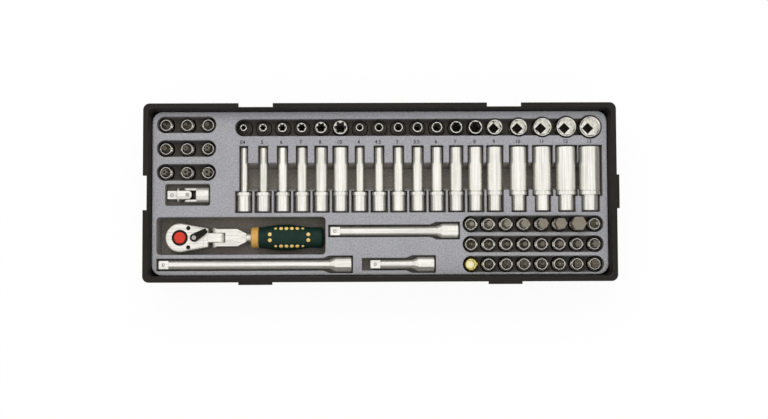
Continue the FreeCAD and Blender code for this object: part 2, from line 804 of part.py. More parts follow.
def bar_outline(x, y, length, room):
    """Return the outline of a bar's bed: narrow along the shank and wide round the female end."""
    wide_start = f"{x} + {length} - bar_end_length - bar_cone_length"
    half = [(f"{x} - end_room - {room}", "bar_diameter / 2 + bar_room"),
            (f"{wide_start} - bar_cone_length", "bar_diameter / 2 + bar_room"),
            (wide_start, "bar_pocket / 2"),
            (f"{x} + {length} + end_room", "bar_pocket / 2")]
    front = [(along, f"{y} - ({reach})") for along, reach in half]
    back = [(along, f"{y} + {reach}") for along, reach in reversed(half)]
    return front + back


def cut_tool_beds(body):
    """Sink the beds of the ratchet, the universal joint and the extension bars."""
    sketch = new_sketch(body, offset="insert_top")
    draw_rounded_box(sketch, "ratchet_pocket", "ratchet_pocket_width", "insert_pocket_corner",
                     "left + ratchet_pocket / 2", "ratchet_bed_y")
    pocket(body, sketch, "insert_top - ratchet_floor", draft="pocket_draft")
    drive_room = "drive_square / sqrt(2) + end_room"
    cut_boxes(body, [(f"ratchet_x - ({drive_room}) - drive_swing", f"ratchet_y - ({drive_room})",
                      f"ratchet_x + {drive_room}", f"ratchet_y + {drive_room}")],
              "ratchet_axis - head_top - drive_length - rest_gap")
    sketch = new_sketch(body, offset="insert_top")
    draw_rounded_box(sketch, "joint_tail + joint_reach + 2 * end_room", "joint_pocket_width",
                     "joint_bed_corner", "joint_x + (joint_reach - joint_tail) / 2", "joint_y")
    pocket(body, sketch, "tool_sink + joint_diameter / 2 + rest_gap", draft="pocket_draft")
    fold_room = "joint_ear_end + end_room"
    cut_boxes(body, [(f"joint_x - ({fold_room})", "joint_y - joint_diameter / 2",
                      f"joint_x + {fold_room}", "joint_y + joint_diameter / 2")],
              "tool_axis - joint_diameter / 2 - rest_gap - joint_relief")
    bars = [("long_bar_x", "front_bar_y", "bar_long", "0"),
            ("medium_bar_x", "middle_bar_y", "bar_medium", "0"),
            ("short_bar_x", "front_bar_y", "bar_short", "bar_finger_room")]
    sketch = new_sketch(body, offset="insert_top")
    for bar in bars:
        draw_polygon(sketch, bar_outline(*bar))
    pocket(body, sketch, "tool_sink + bar_end_diameter / 2 + rest_gap", draft="pocket_draft")


def make_insert():
    """Make the moulded insert with a bed for every tool."""
    body = new_body("moulded_block")
    sketch = new_sketch(body, offset="tray_floor")
    draw_rounded_box(sketch, "insert_length", "insert_width", "insert_corner")
    pad(body, sketch, "insert_top - tray_floor")
    fillet(body, flat_at("Z", "insert_top"), "insert_edge")
    cut_standing_rows(body)
    cut_deep_beds(body)
    cut_tool_beds(body)
    insert = doc.addObject("Part::Cut", "tool_insert")
    insert.Label = "tool_insert"
    insert.Base = body
    insert.Tool = group("nose_beds", [nose_bed(column, size) for column, size in enumerate(COLUMNS)])
    return keep(insert)


def cut_drive_hole(body, depth="drive_depth"):
    """Sink a square drive hole into the bottom of a body."""
    sketch = new_sketch(body)
    draw_square(sketch, "drive_square + drive_clearance", 0)
    pocket(body, sketch, depth, along_normal=True)


def star_core(body, diameter, level):
    """Sketch the root circle of a six-lobed star."""
    sketch = new_sketch(body, offset=level)
    draw_circle(sketch, f"{STAR_ROOT} * ({diameter})")
    return sketch


def star_lobe(body, diameter, level):
    """Sketch one lobe of a six-lobed star."""
    sketch = new_sketch(body, offset=level)
    draw_circle(sketch, f"{STAR_LOBE} * ({diameter})", f"{STAR_LOBE_PLACE} * ({diameter})")
    return sketch


def make_socket(label, size, length):
    """Make a socket that stands on its drive end, its mouth at the top and a bore between the two."""
    nose = f"{nose_diameter(size)} / 2"
    collar = f"{widest_diameter(size)} / 2"
    drive = f"{drive_diameter(size)} / 2"
    mouth = f"({nose} - socket_wall + mouth_clearance)"
    shoulder = "socket_drive_length + socket_collar_length"
    body = new_body(label)
    revolve(body, [
        ("0", "0"),
        (f"{drive} - socket_edge", "0"),
        (drive, "socket_edge"),
        (drive, "socket_drive_length"),
        (collar, "socket_drive_length"),
        (collar, shoulder),
        (f"min({collar}; {nose}) - socket_neck_depth", f"{shoulder} + socket_neck_length / 2"),
        (nose, f"{shoulder} + socket_neck_length"),
        (nose, f"{length} - socket_edge"),
        (f"{nose} - socket_edge", length),
        (mouth, length),
        ("0", f"{length} - {mouth}"),
    ])
    cut_drive_hole(body)
    floor = "socket_drive_length + socket_wall"
    sketch = new_sketch(body, offset=floor)
    draw_circle(sketch, f"min(socket_bore_share * {size}; drive_square - socket_wall) / 2")
    pocket(body, sketch, f"{floor} - drive_depth / 2")
    depth = f"{length} - ({floor})"
    if size.startswith("hex"):
        sketch = new_sketch(body, offset=length)
        draw_hexagon(sketch, f"{size} + mouth_clearance")
        pocket(body, sketch, depth)
    else:
        pocket(body, star_core(body, f"{size} + mouth_clearance", length), depth)
        lobe = pocket(body, star_lobe(body, f"{size} + mouth_clearance", length), depth)
        polar(body, lobe, 6)
    return body


def make_sockets():
    """Stand the short sockets in their holes and lay the deep ones in their beds."""
    for kind, length in (("short", "short_length"), ("deep", "deep_length")):
        stars = []
        for column, size in enumerate(COLUMNS):
            nominal = size.split("_", 1)[1]
            socket = make_socket(f"{kind}_socket_{nominal}", size, length)
            if kind == "short":
                place(socket, column_x(column), "short_y", "short_base")
            else:
                place(socket, column_x(column), "deep_front + end_room", "tool_axis", (1, 0, 0), -90)
            if size in STAR_SIZES:
                stars.append(socket)
            else:
                keep(socket)
        keep(group(f"{kind}_star_sockets", stars))


def make_bit_holder(label, x, y):
    """Make the chromed body of a bit socket, with its drive hole below and its bit bore above."""
    body = new_body(label)
    radius = "bit_body_diameter / 2"
    revolve(body, [
        ("0", "0"),
        (f"{radius} - socket_edge", "0"),
        (radius, "socket_edge"),
        (radius, "bit_body_length - bit_body_bevel"),
        (f"{radius} - bit_body_bevel", "bit_body_length"),
        ("0", "bit_body_length"),
    ])
    sketch = new_sketch(body, offset="bit_body_length")
    draw_circle(sketch, "bit_shank / sqrt(3) + bit_clearance")
    pocket(body, sketch, "bit_bore_depth")
    cut_drive_hole(body)
    return place(body, x, y, "bit_base")


def make_bit(kind, size, x, y):
    """Make a bit: a hexagon shank in its bore, a neck and a tip of the given kind."""
    body = new_body(f"{size}_bit")
    neck = "bit_body_length + mouth_clearance"
    tip = f"{neck} + bit_neck_length"
    reach = "bit_reach" if kind == "hex_tip" else "bit_short_reach"
    tip_length = f"{reach} - mouth_clearance - bit_neck_length"
    end = f"bit_body_length + {reach}"
    sketch = new_sketch(body, offset="bit_body_length - bit_bore_depth")
    draw_hexagon(sketch, "bit_shank")
    pad(body, sketch, "bit_bore_depth + mouth_clearance")
    if kind in ("cross_tip", "blade_tip"):
        point = f"{CROSS_POINT} * {size}" if kind == "cross_tip" else f"{size} / 2"
        revolve(body, [("0", neck), ("bit_shank / 2", neck), (f"{size} / 2", tip),
                       (f"{size} / 2", f"{end} - bit_flute_length / 2"), (point, end), ("0", end)])
        cut_flutes(body, kind, size, end)
    elif kind == "hex_tip":
        revolve(body, [("0", neck), ("bit_shank / 2", neck), (f"{size} / 2", tip), ("0", tip)])
        sketch = new_sketch(body, offset=tip)
        draw_hexagon(sketch, size)
        pad(body, sketch, tip_length)
    else:
        revolve(body, [("0", neck), ("bit_shank / 2", neck), (f"{STAR_ROOT} * {size}", tip), ("0", tip)])
        pad(body, star_core(body, size, tip), tip_length)
        polar(body, pad(body, star_lobe(body, size, tip), tip_length), 6)
    if kind == "security_tip":
        sketch = new_sketch(body, offset=end)
        draw_circle(sketch, f"security_hole * {size} / 2")
        pocket(body, sketch, tip_length)
    return place(body, x, y, "bit_base")


def cut_flutes(body, kind, size, end):
    """Cut the four flutes of a cross tip, or the two flats of a blade tip."""
    sketch = new_sketch(body, offset=end)
    start = "bit_blade / 2" if kind == "cross_tip" else f"-{size}"
    draw_box(sketch, start, "bit_blade / 2", size, size)
    cut = pocket(body, sketch, "bit_flute_length")
    polar(body, cut, 4 if kind == "cross_tip" else 2)


def make_bit_row(label, tips, places):
    """Make a group of bit sockets as one sub-part of bodies and one of bits."""
    holders = []
    bits = []
    for number, ((kind, size), (x, y)) in enumerate(zip(tips, places), 1):
        holders.append(make_bit_holder(f"{label}_holder_{number}", x, y))
        bits.append(make_bit(kind, size, x, y))
    keep(group(f"{label}_bit_sockets", holders))
    keep(group(f"{label}_bits", bits))


def numbered(kind):
    """Return the kind and the size name of each bit of one kind."""
    return [(kind, f"{kind}_{number}") for number in range(1, len(BIT_TIPS[kind]) + 1)]


def make_bits():
    """Stand the bit sockets and the brass adapter in their holes."""
    rows = [[(bit_x(column), bit_y(row)) for column in range(BIT_COLUMNS)] for row in range(BIT_ROWS)]
    sides = [(side_x(column), side_y(row)) for row in range(SIDE_ROWS) for column in range(SIDE_COLUMNS)]
    make_bit_row("hex", numbered("hex_tip"), rows[0])
    make_bit_row("star", numbered("star_tip"), rows[1])
    make_bit_row("screw", numbered("cross_tip") + numbered("blade_tip"), rows[2][1:])
    make_bit_row("security", numbered("security_tip"), sides)
    keep(make_adapter(*rows[2][0]))


def make_adapter(x, y):
    """Make the brass adapter with a hexagon mouth that holds loose bits on a magnet."""
    body = new_body("bit_adapter_body")
    radius = "bit_body_diameter / 2"
    revolve(body, [
        ("0", "0"),
        (f"{radius} - socket_edge", "0"),
        (radius, "socket_edge"),
        (radius, "bit_body_length - bit_body_bevel"),
        (f"{radius} - bit_body_bevel", "bit_body_length"),
        ("0", "bit_body_length"),
    ])
    sketch = new_sketch(body, offset="bit_body_length")
    draw_hexagon(sketch, "bit_shank + bit_clearance")
    pocket(body, sketch, "adapter_depth")
    cut_drive_hole(body)
    place(body, x, y, "bit_base")
    magnet = rod("bit_shank - bit_clearance", "magnet_thickness", x, y,
                 "bit_base + bit_body_length - adapter_depth")
    return group("bit_adapter", [body, magnet])


def cut_ball_hole(body, plane, level, face, along_normal):
    """Bore the seat of a detent ball into one face of a drive square."""
    sketch = new_sketch(body, plane, face)
    x, y = ("0", level) if plane == "YZ_Plane" else (level, "0")
    draw_circle(sketch, "ball_diameter / 2 + running_clearance", x, y)
    pocket(body, sketch, "ball_diameter", along_normal=along_normal)


def make_extension(label, length, x, y):
    """Make an extension bar that lies along X, its drive square first and its detent ball on top."""
    body = new_body(label + "_bar")
    bar = "bar_diameter / 2"
    end = "bar_end_diameter / 2"
    revolve(body, [
        ("0", "drive_length"),
        (bar, "drive_length"),
        (bar, f"{length} - bar_end_length - bar_cone_length"),
        (end, f"{length} - bar_end_length"),
        (end, f"{length} - socket_edge"),
        (f"{end} - socket_edge", length),
        ("0", length),
    ])
    sketch = new_sketch(body)
    draw_square(sketch, "drive_square")
    pad(body, sketch, "drive_length")
    chamfer(body, flat_at("Z", "0"), "drive_bevel")
    sketch = new_sketch(body, offset=length)
    draw_square(sketch, "drive_square + drive_clearance")
    pocket(body, sketch, "drive_depth")
    cut_ball_hole(body, "YZ_Plane", "drive_length / 2", "-drive_square / 2", True)
    place(body, x, y, "tool_axis", (0, 1, 0), 90)
    detent = ball("ball_diameter", f"{x} + drive_length / 2", y, "tool_axis + ball_place")
    return keep(group(label, [body, detent]))


def make_extensions():
    """Lay the three extension bars in their beds."""
    make_extension("extension_50", "bar_short", "short_bar_x", "front_bar_y")
    make_extension("extension_100", "bar_medium", "medium_bar_x", "middle_bar_y")
    make_extension("extension_150", "bar_long", "long_bar_x", "front_bar_y")


def make_joint_fork(label, end):
    """Make one half of the universal joint: two ears on Y about the origin, and a hub towards +X."""
    body = new_body(label)
    radius = "joint_diameter / 2"
    revolve(body, [("-joint_ear_end", "0"), ("-joint_ear_end", radius), (f"{end} - socket_edge", radius),
                   (end, f"{radius} - socket_edge"), (end, "0")], "H_Axis")
    before = "-joint_ear_end - joint_hub"
    sketch = new_sketch(body)
    draw_box(sketch, before, "-joint_jaw / 2", "joint_throat", "joint_jaw / 2")
    pocket(body, sketch, "2 * joint_diameter", both_ways=True)
    sketch = new_sketch(body, "XZ_Plane")
    draw_box(sketch, before, "joint_ear_width / 2", "joint_throat", "joint_diameter")
    draw_box(sketch, before, "-joint_diameter", "joint_throat", "-joint_ear_width / 2")
    pocket(body, sketch, "2 * joint_diameter", both_ways=True)
    sketch = new_sketch(body, "XZ_Plane")
    draw_circle(sketch, "joint_pin_diameter / 2 + running_clearance")
    pocket(body, sketch, "2 * joint_diameter", both_ways=True)
    corner = value("joint_ear_width / 2")
    tip = flat_at("X", "-joint_ear_end")
    fillet(body, lambda edge: tip(edge) and abs(abs(edge.CenterOfMass.z) - corner) < 0.01,
           "joint_ear_width / 2 - socket_edge")
    return body


def make_joint():
    """Make the universal joint: socket end, cross with its pins, and drive end with its ball."""
    socket_end = make_joint_fork("joint_socket_end", "joint_reach")
    sketch = new_sketch(socket_end, "YZ_Plane", "joint_reach")
    draw_square(sketch, "drive_square + drive_clearance")
    pocket(socket_end, sketch, "joint_socket_depth")
    keep(place(socket_end, "joint_x", "joint_y", "tool_axis"))

    cross = new_body("joint_cross")
    sketch = new_sketch(cross)
    block = "joint_jaw / 2 - joint_block_gap"
    draw_box(sketch, f"-({block})", f"-({block})", block, block)
    pad(cross, sketch, f"2 * ({block})", both_ways=True)
    chamfer(cross, lambda edge: True, "socket_edge")
    for plane in ("XY_Plane", "XZ_Plane"):
        sketch = new_sketch(cross, plane)
        draw_circle(sketch, "joint_pin_diameter / 2 + running_clearance")
        pocket(cross, sketch, "2 * joint_diameter", both_ways=True)
    keep(place(cross, "joint_x", "joint_y", "tool_axis"))

    reach = "joint_diameter / 2 - socket_edge"
    inner = "joint_pin_diameter / 2 + rest_gap"
    pins = [rod("joint_pin_diameter", f"2 * ({reach})", "joint_x", f"joint_y + {reach}", "tool_axis",
                (1, 0, 0), 90)]
    for start in (inner, f"-({reach})"):
        pins.append(rod("joint_pin_diameter", f"{reach} - ({inner})", "joint_x", "joint_y",
                        f"tool_axis + {start}"))
    keep(group("joint_pins", pins))

    drive_end = make_joint_fork("joint_drive_end_fork", "joint_throat + joint_hub")
    sketch = new_sketch(drive_end, "YZ_Plane", "joint_throat + joint_hub")
    draw_square(sketch, "drive_square")
    pad(drive_end, sketch, "drive_length")
    chamfer(drive_end, flat_at("X", "joint_tail"), "drive_bevel")
    level = "joint_tail - drive_length / 2"
    cut_ball_hole(drive_end, "XZ_Plane", level, "drive_square / 2", False)
    place(drive_end, "joint_x", "joint_y", "tool_axis")
    turn = FreeCAD.Rotation(FreeCAD.Vector(1, 0, 0), 90) * FreeCAD.Rotation(FreeCAD.Vector(0, 0, 1), 180)
    drive_end.Placement = FreeCAD.Placement(drive_end.Placement.Base, turn)
    detent = ball("ball_diameter", f"joint_x - ({level})", "joint_y", "tool_axis + ball_place")
    keep(group("joint_drive_end", [drive_end, detent]))


def at_ratchet(piece, x="0", z="0", axis=(0, 0, 1), turn=0):
    """Put a ratchet piece at its place along the ratchet, measured from the drive's axis."""
    return place(piece, f"ratchet_x + {x}", "ratchet_y", f"ratchet_axis + {z}", axis, turn)


def cut_screw_holes(body, diameter, depth):
    """Sink the holes of the two cover screws from the top of the head."""
    sketch = new_sketch(body, offset="head_top")
    for side in BOTH_SIDES:
        draw_circle(sketch, f"{diameter} / 2 + running_clearance", "screw_place",
                    f"{side} * screw_spread / 2")
    pocket(body, sketch, depth)


def make_head():
    """Make the ratchet's forged head: gear and pawl chambers, cover recess, and flex tongue."""
    body = new_body("ratchet_head")
    sketch = new_sketch(body)
    draw_pear(sketch, "head_radius", "head_neck_end", "head_neck_width")
    pad(body, sketch, "head_thickness", both_ways=True)
    fillet(body, flat_at("Z", "head_top", "-head_top"), "head_edge")
    sketch = new_sketch(body, "XZ_Plane")
    draw_tongue(sketch, "head_neck_end - head_edge", "flex_place", "tongue_height")
    pad(body, sketch, "tongue_width", both_ways=True)
    sketch = new_sketch(body, offset="head_top")
    draw_pear(sketch, "cover_radius + cover_clearance", "cover_end + cover_clearance",
              "cover_end_width + 2 * cover_clearance")
    pocket(body, sketch, "cover_thickness")
    chamber = "head_thickness - head_floor"
    sketch = new_sketch(body, offset="head_top")
    draw_circle(sketch, "gear_diameter / 2 + gear_gap")
    pocket(body, sketch, chamber)
    sketch = new_sketch(body, offset="head_top")
    draw_box(sketch, "pawl_chamber_start", "-pawl_chamber_width / 2",
             "lever_place + pawl_hub / 2 + pawl_room", "pawl_chamber_width / 2")
    pocket(body, sketch, chamber)
    for radius, x, depth in (("lower_journal / 2", "0", "head_thickness"),
                             ("lever_shaft / 2", "lever_place", f"{chamber} + lever_foot")):
        sketch = new_sketch(body, offset="head_top")
        draw_circle(sketch, f"{radius} + running_clearance", x)
        pocket(body, sketch, depth)
    cut_screw_holes(body, "screw_shank", "screw_length + running_clearance")
    sketch = new_sketch(body, "YZ_Plane", "lever_place + pawl_hub / 2 + pawl_room")
    draw_circle(sketch, "pawl_spring_coil / 2 + pawl_spring_wire")
    pocket(body, sketch, "pawl_spring_length + running_clearance", along_normal=True)
    sketch = new_sketch(body, "XZ_Plane")
    draw_circle(sketch, "flex_pin_diameter / 2 + running_clearance", "flex_place")
    pocket(body, sketch, "2 * head_radius", both_ways=True)
    return keep(at_ratchet(body))


def make_cover():
    """Make the cover plate over the chambers, and the two screws that hold it."""
    body = new_body("head_cover")
    sketch = new_sketch(body, offset="cover_base")
    draw_pear(sketch, "cover_radius", "cover_end", "cover_end_width")
    pad(body, sketch, "cover_thickness")
    sketch = new_sketch(body, offset="head_top")
    draw_circle(sketch, "upper_journal / 2 + running_clearance")
    draw_circle(sketch, "lever_shaft / 2 + running_clearance", "lever_place")
    pocket(body, sketch, "cover_thickness")
    cut_screw_holes(body, "screw_shank", "cover_thickness")
    cut_screw_holes(body, "screw_diameter", "screw_head")
    keep(at_ratchet(body))
    screws = []
    for side in BOTH_SIDES:
        screw = new_body("cover_screw")
        revolve(screw, [("0", "-screw_length"), ("screw_shank / 2", "-screw_length"),
                        ("screw_shank / 2", "-screw_head"), ("screw_diameter / 2", "-screw_head"),
                        ("screw_diameter / 2", "0"), ("0", "0")])
        sketch = new_sketch(screw)
        draw_box(sketch, "-screw_diameter", "-screw_slot / 2", "screw_diameter", "screw_slot / 2")
        pocket(screw, sketch, "screw_slot")
        place(screw, "ratchet_x + screw_place", f"ratchet_y + {side} * screw_spread / 2",
              "ratchet_axis + head_top")
        screws.append(screw)
    keep(group("cover_screws", screws))


def make_drive():
    """Make the toothed drive: journals above and below the teeth, and the square below."""
    body = new_body("drive_gear")
    teeth = "gear_diameter / 2"
    lower = "lower_journal / 2"
    upper = "upper_journal / 2"
    revolve(body, [("0", "-head_top"), (lower, "-head_top"), (lower, "gear_base"), (teeth, "gear_base"),
                   (teeth, "gear_top"), (upper, "gear_top"), (upper, "head_top"), ("0", "head_top")])
    sketch = new_sketch(body, offset="gear_top")
    half = f"{TOOTH_GAP} * tooth_angle * 1deg"
    outer = f"({teeth} + running_clearance)"
    middle = "tooth_angle / 2 * 1deg"
    draw_polygon(sketch, [
        (f"({teeth} - tooth_depth) * cos({middle})", f"({teeth} - tooth_depth) * sin({middle})"),
        (f"{outer} * cos({middle} - {half})", f"{outer} * sin({middle} - {half})"),
        (f"{outer} * cos({middle} + {half})", f"{outer} * sin({middle} + {half})"),
    ])
    polar(body, pocket(body, sketch, "gear_top - gear_base"), GEAR_TEETH)
    sketch = new_sketch(body, offset="-head_top")
    draw_square(sketch, "drive_square")
    pad(body, sketch, "drive_length", backward=True)
    chamfer(body, flat_at("Z", "-head_top - drive_length"), "drive_bevel")
    seat_depth = "button_height - button_stand + button_travel + rest_gap"
    for radius, depth in (("button_diameter / 2", seat_depth),
                          ("button_stem / 2", "head_thickness + drive_length - stem_floor")):
        sketch = new_sketch(body, offset="head_top")
        draw_circle(sketch, f"{radius} + running_clearance")
        pocket(body, sketch, depth)
    cut_ball_hole(body, "YZ_Plane", "ball_level", "-drive_square / 2", True)
    keep(at_ratchet(body))
    detent = ball("ball_diameter", "ratchet_x - ball_place", "ratchet_y", "ratchet_axis + ball_level")
    detent.Label = "drive_detent_ball"
    keep(detent)


def make_button():
    """Make the quick-release button, whose stem has a waist for the ball, and its spring."""
    body = new_body("release_button")
    stem = "button_stem / 2"
    waist = "button_waist / 2"
    level = "ball_level + button_travel"
    half = "button_waist_length / 2"
    slope = f"({stem} - {waist})"
    top = "head_top + button_stand"
    foot = "stem_floor - head_top - drive_length + button_travel + rest_gap"
    revolve(body, [
        ("0", foot), (stem, foot),
        (stem, f"{level} - {half}"), (waist, f"{level} - {half} + {slope}"),
        (waist, f"{level} + {half} - {slope}"), (stem, f"{level} + {half}"),
        (stem, "button_seat"), ("button_diameter / 2", "button_seat"),
        ("button_diameter / 2", f"{top} - socket_edge"), ("button_diameter / 2 - socket_edge", top),
        ("0", top),
    ])
    keep(at_ratchet(body))
    spring = coil_spring("button_spring", "spring_coil", "spring_wire", "button_travel + rest_gap",
                         BUTTON_TURNS)
    keep(at_ratchet(spring, z="button_seat - button_travel - rest_gap + spring_wire / 2"))


def turned(x, y, angle):
    """Turn a point of formulas by an angle of degrees."""
    cosine = f"cos(({angle}) * 1deg)"
    sine = f"sin(({angle}) * 1deg)"
    return f"({x}) * {cosine} - ({y}) * {sine}", f"({x}) * {sine} + ({y}) * {cosine}"


def pawl_point(radius, angle):
    """Return a point of the drive's circle as the pawl holds it before it rocks to that side."""
    x = f"({radius}) * cos(({angle}) * 1deg) - lever_place"
    y = f"({radius}) * sin(({angle}) * 1deg)"
    return turned(x, y, "-pawl_rock")


def make_pawl():
    """Make the two-ended pawl on the lever's shaft, rocked so that one tip is in the teeth."""
    body = new_body("pawl")
    base = "pawl_tip + pawl_wedge"
    upper = [
        ("pawl_hub / 2", "pawl_back_width / 2"),
        pawl_point(base, "pawl_angle + pawl_wedge_angle"),
        pawl_point("pawl_tip", "pawl_angle"),
        pawl_point(base, "pawl_angle - pawl_wedge_angle"),
        ("-pawl_hub / 2", "pawl_inner_width / 2"),
    ]
    lower = [(x, f"-({y})") for x, y in reversed(upper)]
    sketch = new_sketch(body, offset="gear_base")
    draw_polygon(sketch, upper + lower)
    pad(body, sketch, "gear_top - gear_base")
    sketch = new_sketch(body, offset="gear_top")
    draw_circle(sketch, "lever_shaft / 2 + running_clearance")
    pocket(body, sketch, "gear_top - gear_base")
    keep(at_ratchet(body, "lever_place"))
    body.setExpression("Placement.Rotation.Angle", formula("pawl_rock"))
    spring = coil_spring("pawl_spring", "pawl_spring_coil", "pawl_spring_wire", "pawl_spring_length",
                         PAWL_TURNS)
    start = "lever_place + pawl_hub / 2 + pawl_room + pawl_spring_wire / 2"
    keep(at_ratchet(spring, start, "0", (0, 1, 0), 90))


def make_lever():
    """Make the reversing lever: a ribbed thumb arm on a shaft that reaches the head's floor."""
    body = new_body("reversing_lever")
    sketch = new_sketch(body, offset="lever_base")
    draw_pear(sketch, "lever_hub / 2", "lever_reach", "lever_tip")
    pad(body, sketch, "lever_thickness")
    fillet(body, lambda edge: edge.BoundBox.ZLength > value("lever_thickness") - 0.01
           and abs(edge.CenterOfMass.x - value("lever_reach")) < 0.01, "lever_tip / 2 - socket_edge")
    sketch = new_sketch(body, offset="lever_base + lever_thickness")
    for rib in range(LEVER_RIBS):
        start = f"lever_reach - lever_tip / 2 - {rib} * 2 * lever_rib"
        draw_box(sketch, f"{start} - lever_rib", "-lever_tip / 2 + socket_edge", start,
                 "lever_tip / 2 - socket_edge")
    draw_circle(sketch, "lever_cap / 2")
    pad(body, sketch, "socket_edge")
    sketch = new_sketch(body, offset="lever_base")
    draw_circle(sketch, "lever_shaft / 2")
    pad(body, sketch, "lever_base + head_top - head_floor + lever_foot - running_clearance", backward=True)
    keep(at_ratchet(body, "lever_place"))
    body.setExpression("Placement.Rotation.Angle", formula("lever_angle"))


def make_fork():
    """Make the handle's fork and shank, the flex pin, and the detent that holds the head's angle."""
    body = new_body("flex_fork")
    end = "flex_place + fork_end"
    shoulder = "flex_place + fork_shoulder"
    sketch = new_sketch(body, "XZ_Plane")
    arc = draw_arc(sketch, "fork_height / 2", "flex_place", "0", 90, 270)
    lines = draw_path(sketch, arc, [(shoulder, "-fork_height / 2"), (end, "-shank_diameter / 2"),
                                    (end, "shank_diameter / 2"), (shoulder, "fork_height / 2")])
    sketch.addConstraint(Sketcher.Constraint("Tangent", arc, 2, lines[0], 1))
    sketch.addConstraint(Sketcher.Constraint("Tangent", lines[-1], 2, arc, 1))
    pad(body, sketch, "fork_width", both_ways=True)
    sketch = new_sketch(body)
    lip = "flex_place - fork_height / 2 + fork_lip"
    for side in BOTH_SIDES:
        draw_polygon(sketch, [(lip, f"{side} * fork_width / 2"),
                              (f"{lip} + fork_lip", f"{side} * fork_waist / 2"),
                              (shoulder, f"{side} * fork_waist / 2"), (end, f"{side} * shank_diameter / 2"),
                              (f"{end} + fork_end", f"{side} * shank_diameter / 2"),
                              (f"{end} + fork_end", f"{side} * fork_width"),
                              (lip, f"{side} * fork_width")])
    pocket(body, sketch, "2 * fork_height", both_ways=True)
    sketch = new_sketch(body)
    draw_box(sketch, "flex_place - fork_height", "-tongue_width / 2 - fork_slot_room", "fork_slot",
             "tongue_width / 2 + fork_slot_room")
    pocket(body, sketch, "2 * fork_height", both_ways=True)
    sketch = new_sketch(body, "XZ_Plane")
    draw_circle(sketch, "flex_pin_diameter / 2 + running_clearance", "flex_place")
    pocket(body, sketch, "2 * fork_width", both_ways=True)
    sketch = new_sketch(body, "YZ_Plane", "fork_slot")
    draw_circle(sketch, "flex_ball_diameter / 2 + running_clearance")
    pocket(body, sketch, "flex_ball_diameter + flex_spring_length", along_normal=True)
    sketch = new_sketch(body, "YZ_Plane", end)
    draw_circle(sketch, "shank_diameter / 2")
    pad(body, sketch, f"grip_place + tang_length - ({end})")
    keep(at_ratchet(body))

    length = "fork_waist - 2 * socket_edge"
    pin = rod("flex_pin_diameter", length, "ratchet_x + flex_place", f"ratchet_y + ({length}) / 2",
              "ratchet_axis", (1, 0, 0), 90)
    pin.Label = "flex_pin"
    keep(pin)
    touch = "flex_place + tongue_height / 2 + cover_clearance"
    detent = ball("flex_ball_diameter", f"ratchet_x + {touch} + flex_ball_diameter / 2", "ratchet_y",
                  "ratchet_axis")
    spring = coil_spring("flex_spring", "flex_ball_diameter - 2 * spring_wire", "spring_wire",
                         "flex_spring_length - cover_clearance", FLEX_TURNS)
    at_ratchet(spring, f"{touch} + flex_ball_diameter + spring_wire / 2", "0", (0, 1, 0), 90)
    keep(group("flex_detent", [detent, spring]))


def make_handle():
    """Make the grip and the ferrule in front of it, both on the shank."""
    bore = "shank_diameter / 2 + running_clearance"
    rim = "ferrule_diameter / 2"
    ferrule = new_body("handle_ferrule")
    revolve(ferrule, [("0", bore), ("0", f"{rim} - ferrule_bevel"), ("ferrule_bevel", rim),
                      ("ferrule_length - ferrule_bevel", rim), ("ferrule_length", f"{rim} - ferrule_bevel"),
                      ("ferrule_length", bore)], "H_Axis")
    keep(at_ratchet(ferrule, "ferrule_place"))

    grip = new_body("handle_grip")
    floor = "tang_length + rest_gap"
    revolve(grip, [("0", bore), ("0", "grip_start_diameter / 2"), ("grip_bulge_start", "grip_diameter / 2"),
                   ("grip_bulge_end", "grip_diameter / 2"), ("grip_waist_place", "grip_waist_diameter / 2"),
                   ("grip_length", "grip_end_diameter / 2"), ("grip_length", "0"), (floor, "0"),
                   (floor, bore)], "H_Axis")
    fillet(grip, flat_at("X", "grip_bulge_start", "grip_bulge_end", "grip_waist_place"), "grip_blend")
    rim_radius = value("grip_end_diameter / 2") - 0.01
    far = flat_at("X", "grip_length")
    fillet(grip, lambda edge: far(edge) and edge.BoundBox.ZMax > rim_radius, "grip_edge")
    keep(at_ratchet(grip, "grip_place"))


def export_parts():
    """Check every object, then write each sub-part to its own file."""
    doc.recompute()
    for item in doc.Objects:
        if "Invalid" in item.State or "Error" in item.State:
            raise RuntimeError(f"{item.Label}: {item.getStatusString()}")
    os.makedirs("parts", exist_ok=True)
    for part in PARTS:
        if part.Shape.isNull() or not part.Shape.isValid():
            raise RuntimeError(f"{part.Label} has no valid shape")
        part.Shape.exportStep(f"parts/{part.Label}.step")
        print(part.Label, len(part.Shape.Solids), round(part.Shape.Volume, 1))


fill_sizes()
make_tray()
make_insert()
make_sockets()
make_bits()
make_extensions()
make_joint()
make_head()
make_cover()
make_drive()
make_button()
make_pawl()
make_lever()
make_fork()
make_handle()
export_parts()
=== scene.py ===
# %% [markdown]
# # A socket wrench set in its open tray
#
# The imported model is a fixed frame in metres: every tool already has its shape and lies in its bed.
# This lesson dresses that frame. It makes the finishes of the moulded tray, the flocked insert, the
# chromed tools and the ratchet's handle, adds the printed sizes and the raised studs, cuts the drive
# squares that show inside the larger sockets, and sets up a plain studio above it all.

# %% Load the frame
import json
import math

import bmesh
import bpy
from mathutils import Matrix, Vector
from mathutils.bvhtree import BVHTree


